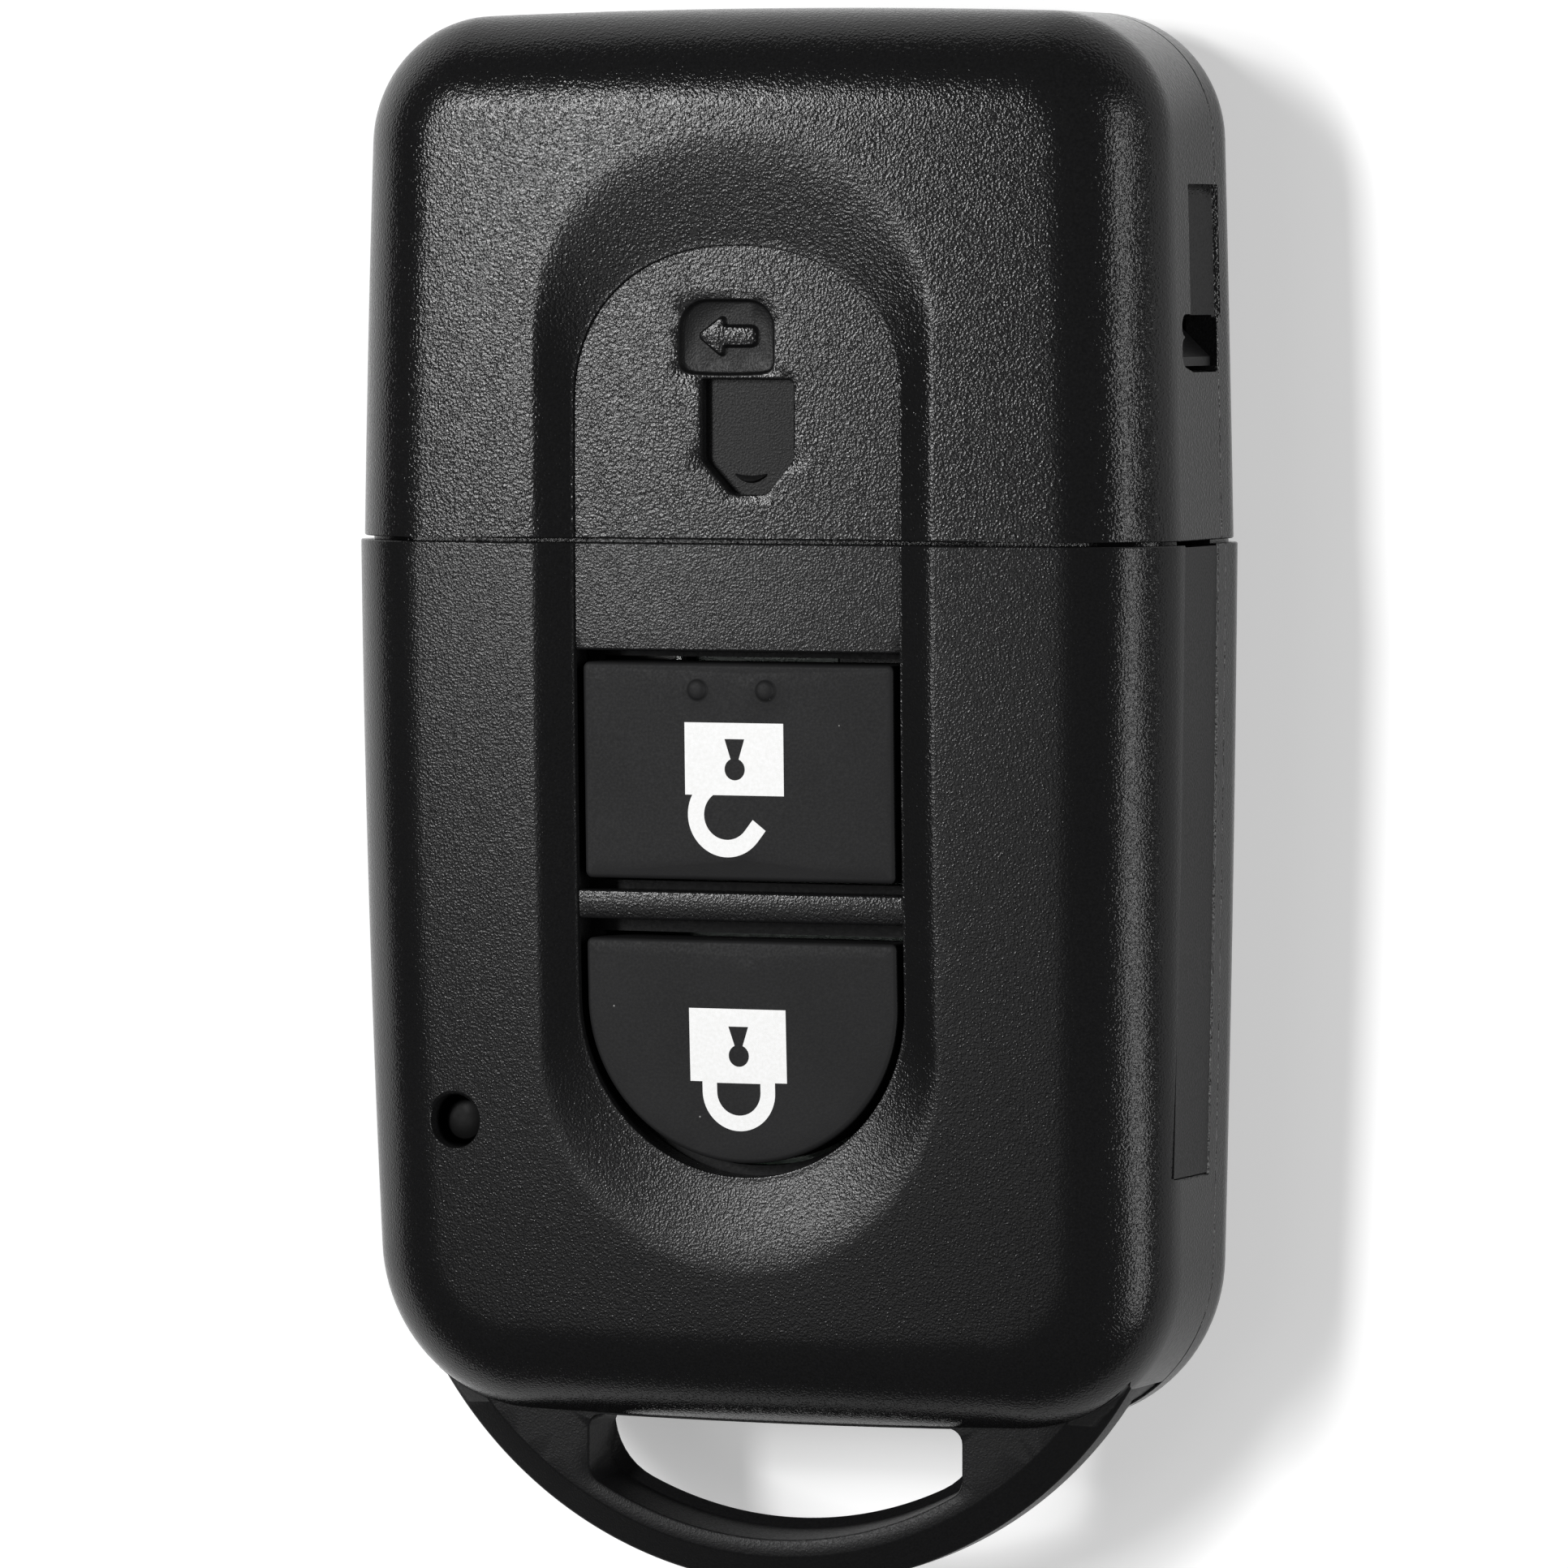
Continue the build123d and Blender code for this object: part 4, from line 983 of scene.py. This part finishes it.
def unlock_print():
    """Open padlock, drawn upside down, with its hook hanging from the left."""
    x, y, outer_r, inner_r = -0.51, -0.48, 1.88, 1.10
    x0, x1, y0, y1 = -2.51, 2.25, 0.41, 3.64
    turn = radians(-38)
    straight = 0.62
    starts = [pi - asin((y0 - y) / r) for r in (outer_r, inner_r)]
    hook = arc(x, y, outer_r, starts[0], 2 * pi + turn, 40)
    hook += [(x + r * cos(turn) - straight * sin(turn), y + r * sin(turn) + straight * cos(turn))
             for r in (outer_r, inner_r)]
    hook += arc(x, y, inner_r, 2 * pi + turn, starts[1], 40)
    body = [(x0, y0)] + hook + [(x1, y0), (x1, y1), (x0, y1)]
    return printed("unlock_key_print", body, [keyhole(-0.10, 1.57, 2.03, 2.92)])


def lock_print():
    """Closed padlock, drawn upside down."""
    x0, x1, y0, y1 = -2.50, 2.16, -12.42, -9.14
    x, y, outer_r, inner_r = -0.17, -12.87, 1.75, 1.05
    body = [(x0, y0), (x - outer_r, y0)] + arc(x, y, outer_r, pi, 2 * pi, 32)
    body += [(x + outer_r, y0), (x1, y0), (x1, y1), (x0, y1)]
    hole = [(x + inner_r, y0 - 0.05)] + arc(x, y, inner_r, 2 * pi, pi, 32) + [(x - inner_r, y0 - 0.05)]
    return printed("lock_key_print", body, [keyhole(-0.13, -11.24, -10.78, -9.93), hole])


# Lock slider
RIDGE_X = 0.53
RIDGE_HALF = 0.78
RIDGE_Y = (14.3, 14.64)
RIDGE_RISE = 0.18
RIDGE_ROOT = 0.3
ARM_Z = (9.9, 11.1)
LEG_X = (15.35, 16.5)
LEG_Z = 7.2


def nail_ridge():
    """Crescent on the slider's plate: steep below, sloping above."""
    top = SLIDER_Z[1]
    rows = []
    for t in steps(-0.98, 0.98, 24):
        low, high = RIDGE_Y[0] + 0.36 * t * t, RIDGE_Y[1] + 0.1 * t * t
        width = high - low
        rise = RIDGE_RISE * sqrt(1 - t * t)
        outline = ((0, -RIDGE_ROOT), (0, 0), (0.15, 0.75 * rise), (0.3, rise), (0.51, 0.85 * rise), (1, 0),
                   (1, -RIDGE_ROOT))
        rows.append([(RIDGE_X + RIDGE_HALF * t, low + width * share, top + up) for share, up in outline])
    skin = Skin()
    skin.tube(rows)
    return skin.build("nail_ridge")


def lock_slider():
    """Plate under the shield window with its nail ridge, and the arm and leg that reach the latch leaf."""
    plate = block("lock_slider_plate", SLIDER_X, SLIDER_Y, SLIDER_Z, 0.12)
    reach_x = SLIDER_X[1] - 1.5
    bridge = block("bridge", (reach_x, SLIDER_X[1] - 0.02), (ARM_Y[0], SLIDER_Y[1] - 0.02),
                   (ARM_Z[0], SLIDER_Z[1] - 0.05), 0.08)
    arm = block("arm", (reach_x + 0.02, LEG_X[1]), ARM_Y, ARM_Z, 0.12)
    leg = block("leg", (LEG_X[0], LEG_X[1] - 0.01), wider(ARM_Y, -0.01), (LEG_Z, ARM_Z[1] - 0.02), 0.2)
    return shaped(plate, [], [bridge, arm, leg, nail_ridge()])


# Ring loop and chassis
LOOP_BEVEL = 0.8
LOOP_BEVEL_WIDTH = 1.35
SLOT_TOP_Y = -27.95
NECK_X = (-12.0, 15.2)
NECK_END_Y = 18.4
NECK_Z = (1.75, 10.4)
NECK_R = 1.2
NECK_ROUND = 0.5
END_WALL_X = (-17.0, 16.0)
END_WALL_Y = (10.2, 11.475)
END_WALL_Z = (1.35, 11.7)
END_WALL_BEVEL = 0.15
BLADE_SLOT_GAP = 0.12
FRAME_X = (-16.9, 16.0)
FRAME_Y = (-25.4, 10.2)
FRAME_WALL = 1.1
FRAME_R = 4.0
BOARD_Z = 5.6


def slot_loop(half, arc_r, corner_r):
    """Crescent slot: straight above and at its sides, with a round lower edge."""
    fillet_x = half - corner_r
    fillet_y = LOOP_CENTRE_Y - sqrt((arc_r - corner_r) ** 2 - fillet_x ** 2)
    lean = atan2(LOOP_CENTRE_Y - fillet_y, fillet_x)
    left = arc(-fillet_x, fillet_y, corner_r, pi, 2 * pi - (pi - lean), 8)
    low = arc(0, LOOP_CENTRE_Y, arc_r, pi + lean, 2 * pi - lean, 48)
    upper = rounded([(half, fillet_y), (half, SLOT_TOP_Y), (-half, SLOT_TOP_Y), (-half, fillet_y)],
                    [0, 0.7, 0.7, 0], 6)
    return left + low[1:-1] + [(-x, y) for x, y in reversed(left)] + upper[1:-1]


def ring_loop():
    """The strap of the loop with its bevelled rim and its slot."""
    low, high = LOOP_Z
    chamfer, width = high - LOOP_BEVEL, LOOP_BEVEL_WIDTH
    rim = ((0.8, low), (0.4, low + 0.12), (0.12, low + 0.4), (0, low + 0.8), (0, chamfer - 0.04),
           (0.04, chamfer + 0.01), (0.1, chamfer + 0.06), (width - 0.06, high - 0.04), (width, high - 0.01),
           (width + 0.06, high))
    rows = [[(x, y, z) for x, y in loop_arc(LOOP_R - inset, ROOT_Y, 120)] for inset, z in rim]
    slot_rim = ((9.08, 16.9, 3.3, low), (8.98, 16.8, 3.2, low + 0.08), (8.98, 16.8, 3.2, low + 0.16),
                (9.03, 17.2, 1.8, low + 0.6), (9.06, 17.5, 0.9, high - 0.12), (9.09, 17.53, 0.9, high - 0.04),
                (9.17, 17.61, 0.95, high))
    slot = [[(x, y, z) for x, y in slot_loop(*outline)] for *outline, z in slot_rim]
    skin = Skin()
    skin.strip(rows)
    skin.strip(slot, closed=True)
    for row, hole, z in ((rows[0], slot[0], low), (rows[-1], slot[-1], high)):
        skin.fill([row + across(row[-1], row[0], 30)[1:-1], hole], lambda u, v: (u, v, z), 1.2)
    back = [across(row[0], row[-1], 30) for row in (rows[0], rows[-1])]
    ends = [[row[end] for row in rows] for end in (0, -1)]
    skin.face(back[0] + ends[1][1:] + back[1][-2::-1] + ends[0][-2:0:-1])
    return skin.build("chassis_frame")


def root_plate():
    """Thick root of the loop inside the body: the loop's disc within the body's outline."""
    edge = sorted((x - 0.1 * nx, y - 0.1 * ny) for x, y, nx, ny in BODY.plan if y < -20)
    xs, ys = zip(*edge)
    half = sqrt(LOOP_R ** 2 - (LOOP_CENTRE_Y - ROOT_Y) ** 2) - 0.01
    plan = []
    for x in steps(-half, half, 60):
        disc_y = LOOP_CENTRE_Y - sqrt(LOOP_R ** 2 - x * x)
        plan.append((x, max(disc_y + 0.03, float(np.interp(x, xs, ys)))))
    plan += [(half, ROOT_Y - 0.02), (-half, ROOT_Y - 0.02)]
    return prism("root_plate", plan, (ROOT_Z, LOOP_Z[1] - 0.03))


def frame_prism(name, inset, r, z):
    (x0, x1), (y0, y1) = wider(FRAME_X, -inset), wider(FRAME_Y, -inset)
    return prism(name, rounded([(x0, y0), (x1, y0), (x1, y1), (x0, y1)], [r] * 4, 10), z)


def chassis():
    """Frame round the board, with the ring loop at one end and the neck at the other."""
    rim = frame_prism("frame", 0, FRAME_R, FRAME_Z)
    well = frame_prism("well", FRAME_WALL, 3, (BOARD_Z, 9))
    ledge = frame_prism("ledge", 2 * FRAME_WALL, 2, (4, 9))
    frame_ring = shaped(rim, [well, ledge])
    slot = block("blade_slot", wider(BLADE_SIDES, BLADE_SLOT_GAP), (-25.3, 10.5),
                 wider(BLADE_Z, BLADE_SLOT_GAP))
    return shaped(ring_loop(), [slot, cell_room(1, 4.7)], [root_plate(), frame_ring, neck()])


def cross_section(x, z, r, y, count=6):
    """Rounded rectangle across the fob at y."""
    corners = [(x[0], z[0]), (x[1], z[0]), (x[1], z[1]), (x[0], z[1])]
    return [(u, y, v) for u, v in rounded(corners, [r] * 4, count)]


def neck():
    """Neck that enters the cap, with the slot for the blade."""
    y0, y1 = END_WALL_Y
    bevel = END_WALL_BEVEL
    wall = [cross_section(END_WALL_X, END_WALL_Z, 2.4, y) for y in (y0, y1 - bevel)]
    wall.append(cross_section(wider(END_WALL_X, -bevel), wider(END_WALL_Z, -bevel), 2.3, y1))
    tip_y = NECK_END_Y - NECK_ROUND
    tube = [cross_section(NECK_X, NECK_Z, NECK_R, y) for y in steps(y1, tip_y, 3)]
    for a in steps(0, pi / 2, 4)[1:]:
        inset = NECK_ROUND * (1 - cos(a))
        tube.append(cross_section(wider(NECK_X, -inset), wider(NECK_Z, -inset), NECK_R - inset,
                                  tip_y + NECK_ROUND * sin(a)))
    x, z = wider(BLADE_SIDES, BLADE_SLOT_GAP), wider(BLADE_Z, BLADE_SLOT_GAP)
    slot = [cross_section(x, z, 0.1, y, 2) for y in (y0, NECK_END_Y - 0.2)]
    slot.append(cross_section(wider(x, 0.2), wider(z, 0.2), 0.3, NECK_END_Y, 2))
    skin = Skin()
    for rows in (wall, tube, slot):
        skin.strip(rows, closed=True)
    for edge, hole in ((wall[0], slot[0]), (wall[-1], tube[0]), (tube[-1], slot[-1])):
        skin.fill([[(x, z) for x, _, z in row] for row in (edge, hole)], lambda u, v: (u, edge[0][1], v))
    return skin.build("chassis_neck")


# Materials
MIX_A, MIX_B, MIX_RESULT = 6, 7, 2       # the colour sockets of a mix node
ABS_BLACK = (0.008, 0.008, 0.0083)


def tinted(colour, by):
    return tuple(c * by for c in colour)


class Nodes:
    """Short way to write a material's node tree."""

    def __init__(self, name):
        self.material = bpy.data.materials.new(name)
        self.material.use_nodes = True
        self.tree = self.material.node_tree
        self.tree.nodes.clear()
        self.out = self.add("ShaderNodeOutputMaterial")
        self.shader = self.add("ShaderNodeBsdfPrincipled")
        self.link(self.shader, self.out, 0)
        self.place = self.add("ShaderNodeTexCoord")

    def add(self, kind, **values):
        node = self.tree.nodes.new(kind)
        for key, value in values.items():
            setattr(node, key, value)
        return node

    def link(self, source, target, socket, output=0):
        self.tree.links.new(source.outputs[output], target.inputs[socket])

    def texture(self, kind, size_mm, **values):
        """Texture whose features are about size_mm wide."""
        node = self.add(kind)
        for key, value in {"Scale": 1.0 / (size_mm * MM), **values}.items():
            node.inputs[key].default_value = value
        self.link(self.place, node, "Vector", "Object")
        return node

    def noise(self, size_mm, detail=2.0):
        return self.texture("ShaderNodeTexNoise", size_mm, Detail=detail, Roughness=0.5)

    def cells(self, size_mm):
        return self.texture("ShaderNodeTexVoronoi", size_mm)

    def spread(self, source, low=0.3, high=0.7, to_low=0.0, to_high=1.0):
        node = self.add("ShaderNodeMapRange")
        for key, value in (("From Min", low), ("From Max", high), ("To Min", to_low), ("To Max", to_high)):
            node.inputs[key].default_value = value
        self.link(source, node, "Value")
        return node

    def maths(self, operation, a, b, a_output=0, b_output=0):
        """Arithmetic on two values; b may be a plain number."""
        node = self.add("ShaderNodeMath", operation=operation)
        self.link(a, node, 0, a_output)
        if isinstance(b, float):
            node.inputs[1].default_value = b
        else:
            self.link(b, node, 1, b_output)
        return node

    def mix(self, factor, dark, light):
        """Colour between two by a factor; dark may be another mix."""
        node = self.add("ShaderNodeMix", data_type="RGBA")
        self.link(factor, node, 0)
        for socket, colour in ((MIX_A, dark), (MIX_B, light)):
            if isinstance(colour, tuple):
                node.inputs[socket].default_value = (*colour, 1.0)
            else:
                self.link(colour, node, socket, MIX_RESULT)
        return node

    def finish(self, colour, relief, relief_mm, roughness=None, **values):
        """Joins colour, bump and roughness to the shader, sets its plain values and gives the material."""
        self.link(colour, self.shader, "Base Color", MIX_RESULT)
        bump = self.add("ShaderNodeBump")
        bump.inputs["Strength"].default_value = 1.0
        bump.inputs["Distance"].default_value = relief_mm * MM
        self.link(relief, bump, "Height")
        self.link(bump, self.shader, "Normal")
        if roughness:
            self.link(roughness, self.shader, "Roughness")
        self.set(**values)
        return self.material

    def set(self, **values):
        for key, value in values.items():
            self.shader.inputs[key.replace("_", " ")].default_value = value


def grained_plastic(name, base, grain_mm, relief_mm, roughness, specular):
    """Black ABS from a spark-eroded mould: irregular pips with finer ones between them."""
    n = Nodes(name)
    pips = n.noise(grain_mm, 1.5)
    fine = n.cells(grain_mm * 1.15)
    broad = n.noise(9.0)
    height = n.maths("ADD", n.spread(pips, 0.25, 0.75), n.spread(fine, 0.1, 0.42, 0.55, 0.0))
    tone = n.maths("MULTIPLY", n.spread(pips), n.spread(broad, to_low=0.7))
    return n.finish(n.mix(tone, tinted(base, 0.75), tinted(base, 1.3)), height, relief_mm,
                    n.spread(pips, 0.35, 0.65, roughness + 0.06, roughness - 0.04), Specular_IOR_Level=specular)


def silicone(name, base):
    """Matte silicone with a faint tooth and a few specks of dust."""
    n = Nodes(name)
    tooth = n.noise(0.12, 3.0)
    broad = n.noise(4.0)
    speck = n.spread(n.cells(0.9), 0.035, 0.05, 1.0, 0.0)
    dust = n.maths("MULTIPLY", speck, n.maths("GREATER_THAN", n.noise(1.7, 0.0), 0.66))
    ground = n.mix(n.spread(broad), tinted(base, 0.9), tinted(base, 1.12))
    return n.finish(n.mix(dust, ground, (0.3, 0.3, 0.29)), tooth, 0.006,
                    n.spread(tooth, to_low=0.52, to_high=0.68), Specular_IOR_Level=0.15)


def ink(name):
    """White screen print, a little uneven."""
    n = Nodes(name)
    grain = n.noise(0.15)
    white = n.mix(n.spread(grain), (0.86, 0.86, 0.85), (0.93, 0.93, 0.93))
    return n.finish(white, grain, 0.004, Roughness=0.55)


def metal(name, base, roughness, grain_mm):
    """Steel or nickel with a fine, almost level grain."""
    n = Nodes(name)
    grain = n.noise(grain_mm, 3.0)
    return n.finish(n.mix(n.spread(grain), tinted(base, 0.95), base), grain, 0.0002,
                    n.spread(grain, to_low=roughness - 0.02, to_high=roughness + 0.03), Metallic=1.0)


CAP_SHELL = grained_plastic("grained_cap", ABS_BLACK, 0.13, 0.013, 0.14, 0.2)
SHELL = grained_plastic("grained_body", ABS_BLACK, 0.11, 0.009, 0.16, 0.18)
SATIN = grained_plastic("satin_black", ABS_BLACK, 0.1, 0.005, 0.34, 0.09)
KEYS = silicone("key_silicone", (0.0135, 0.0135, 0.014))
INK = ink("white_print")
SMALL = grained_plastic("component_black", (0.015, 0.015, 0.015), 0.1, 0.008, 0.5, 0.4)
BOARD = grained_plastic("board_green", (0.008, 0.05, 0.02), 0.2, 0.004, 0.35, 0.5)
LENS = grained_plastic("lens_smoke", (0.004, 0.004, 0.004), 0.5, 0.001, 0.5, 0.1)
STEEL = metal("steel", (0.6, 0.6, 0.59), 0.3, 0.3)
NICKEL = metal("blade_nickel", (0.72, 0.71, 0.68), 0.28, 0.25)
BY_SLOT = {"textured_shell": SHELL, "satin_plastic": SATIN, "key_silicone": KEYS, "component_black": SMALL,
           "board_green": BOARD, "lens_plastic": LENS, "steel_can": STEEL, "blade_nickel": NICKEL}


def dressed(obj, material, body, stands_for=()):
    """Gives a piece its material, or two for a piece with two finishes, and ties it to its body."""
    slots = obj.data.materials
    for i, finish in enumerate(material if isinstance(material, tuple) else (material,)):
        if i < len(slots):
            slots[i] = finish
        else:
            slots.append(finish)
    even = obj.modifiers.new("even_shading", "WEIGHTED_NORMAL")
    even.keep_sharp = True
    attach(obj, body)
    if stands_for:
        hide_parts(*stands_for)


def dress_solids():
    """Materials and softened edges on the CAD nodes that stay in view."""
    slots = {s["node"]: s["material_slot"] for s in frame["record"]["subparts"]}
    for name, node in frame["nodes"].items():
        node.data.materials.clear()
        node.data.materials.append(BY_SLOT[slots[name]])
        edge = node.modifiers.new("edge", "BEVEL")
        edge.width = 0.06 * MM
        edge.segments = 2
        edge.limit_method = "ANGLE"
        edge.angle_limit = radians(40)


def dress_fob():
    dressed(crisp_mouth(bulged(body_front())), SHELL, "body", ["body_front_shell"])
    dressed(crisp_mouth(body_rear()), SHELL, "body", ["body_rear_shell"])
    dressed(crisp_mouth(bulged(cap_front())), (CAP_SHELL, SATIN), "cap", ["cap_front_shell"])
    dressed(crisp_mouth(cap_rear()), CAP_SHELL, "cap", ["cap_rear_shell"])
    unlock = key_mesh("unlock_key_cap", square_key, DOTS)
    lock = key_mesh("lock_key_cap", arched_key)
    dressed(bulged(unlock), KEYS, "unlock", ["unlock_key"])
    dressed(bulged(lock), KEYS, "lock", ["lock_key"])
    dressed(bulged(unlock_print()), INK, "unlock")
    dressed(bulged(lock_print()), INK, "lock")
    dressed(bulged(chassis()), SATIN, "body", ["chassis"])
    dressed(led_lens(), LENS, "body", ["led_lens"])
    dressed(lock_slider(), SATIN, "slider", ["lock_slider"])
    spring = coil_spring()
    dressed(spring, STEEL, "cap", ["slider_spring"])
    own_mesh(spring)


# Camera, as fitted to the photograph
LENS_PX = 13400.0
FRAME_PX = 1932.0
SENSOR_MM = 36.0
CAMERA_YAW = 22.51
CAMERA_PITCH = -2.75
CAMERA_ROLL = -0.06
CAMERA_AIM = (-0.07, 0.67, 7.3)
CAMERA_DISTANCE = 489.01


def add_camera():
    data = bpy.data.cameras.new("camera")
    data.sensor_width = SENSOR_MM
    data.lens = SENSOR_MM * LENS_PX / FRAME_PX
    data.clip_start = 0.01
    data.clip_end = 20.0
    camera = new_object("camera", data)
    turn = (Matrix.Rotation(radians(CAMERA_YAW), 3, "Y") @ Matrix.Rotation(radians(CAMERA_PITCH), 3, "X")
            @ Matrix.Rotation(radians(CAMERA_ROLL), 3, "Z"))
    place = Vector(CAMERA_AIM) + turn.col[2] * CAMERA_DISTANCE
    camera.matrix_world = Matrix.Translation(place * MM) @ turn.to_4x4()
    bpy.context.scene.camera = camera


# Studio; directions point from the fob to a lamp, and lamp sizes are in metres across and along the fob
LAMP_AIM = (0, 0, 0.007)
FLOOR_GLOW = 0.35
FLOOR_HALF = 3.0
FLOOR_DROP = 0.00005
AMBIENT = 0.06


def area_light(name, direction, distance, size, power):
    data = bpy.data.lights.new(name, "AREA")
    data.shape = "RECTANGLE"
    data.size, data.size_y = size
    data.energy = power
    towards = Vector(direction).normalized()
    sideways = Vector((0, 1, 0)).cross(towards).normalized()
    turn = Matrix((sideways, towards.cross(sideways), towards)).transposed()
    place = Matrix.Translation(towards * distance + Vector(LAMP_AIM))
    new_object(name, data).matrix_world = place @ turn.to_4x4()


def add_lights():
    area_light("key", (-0.465, 0.15, 0.87), 0.6, (0.085, 0.19), 1.55)
    area_light("upper", (-0.473, 0.32, 0.82), 0.6, (0.1, 0.12), 1.45)
    area_light("fill", (-0.36, -0.12, 0.92), 0.6, (0.3, 0.2), 0.25)
    area_light("strip", (0.93, -0.05, 0.36), 0.5, (0.06, 0.6), 1.7)


def floor_material():
    """White that keeps the shadow; camera, glossy and transmitted rays also see it glow."""
    n = Nodes("floor_white")
    n.set(Base_Color=(0.8, 0.8, 0.8, 1), Roughness=0.9, Specular_IOR_Level=0.0)
    path = n.add("ShaderNodeLightPath")
    glow = n.add("ShaderNodeEmission")
    glow.inputs["Strength"].default_value = FLOOR_GLOW
    seen = n.maths("ADD", path, path, "Is Camera Ray", "Is Glossy Ray")
    seen.use_clamp = True
    seen = n.maths("ADD", seen, path, 0, "Is Transmission Ray")
    seen.use_clamp = True
    both = n.add("ShaderNodeAddShader")
    n.link(n.shader, both, 0)
    n.link(glow, both, 1)
    mix = n.add("ShaderNodeMixShader")
    for socket, source in enumerate((seen, n.shader, both)):
        n.link(source, mix, socket)
    n.link(mix, n.out, 0)
    return n.material


def add_floor():
    half = FLOOR_HALF
    corners = [(-half, -half, 0), (half, -half, 0), (half, half, 0), (-half, half, 0)]
    mesh = bpy.data.meshes.new("floor")
    mesh.from_pydata(corners, [], [(0, 1, 2, 3)])
    mesh.materials.append(floor_material())
    floor = new_object("floor", mesh)
    floor.location.z = -FLOOR_DROP


def add_world():
    world = bpy.data.worlds.new("studio")
    bpy.context.scene.world = world
    world.use_nodes = True
    ambient = world.node_tree.nodes["Background"]
    ambient.inputs["Color"].default_value = (1, 1, 1, 1)
    ambient.inputs["Strength"].default_value = AMBIENT


dress_solids()
dress_fob()
add_camera()
add_floor()
add_world()
add_lights()
bpy.context.scene.view_settings.view_transform = "Standard"
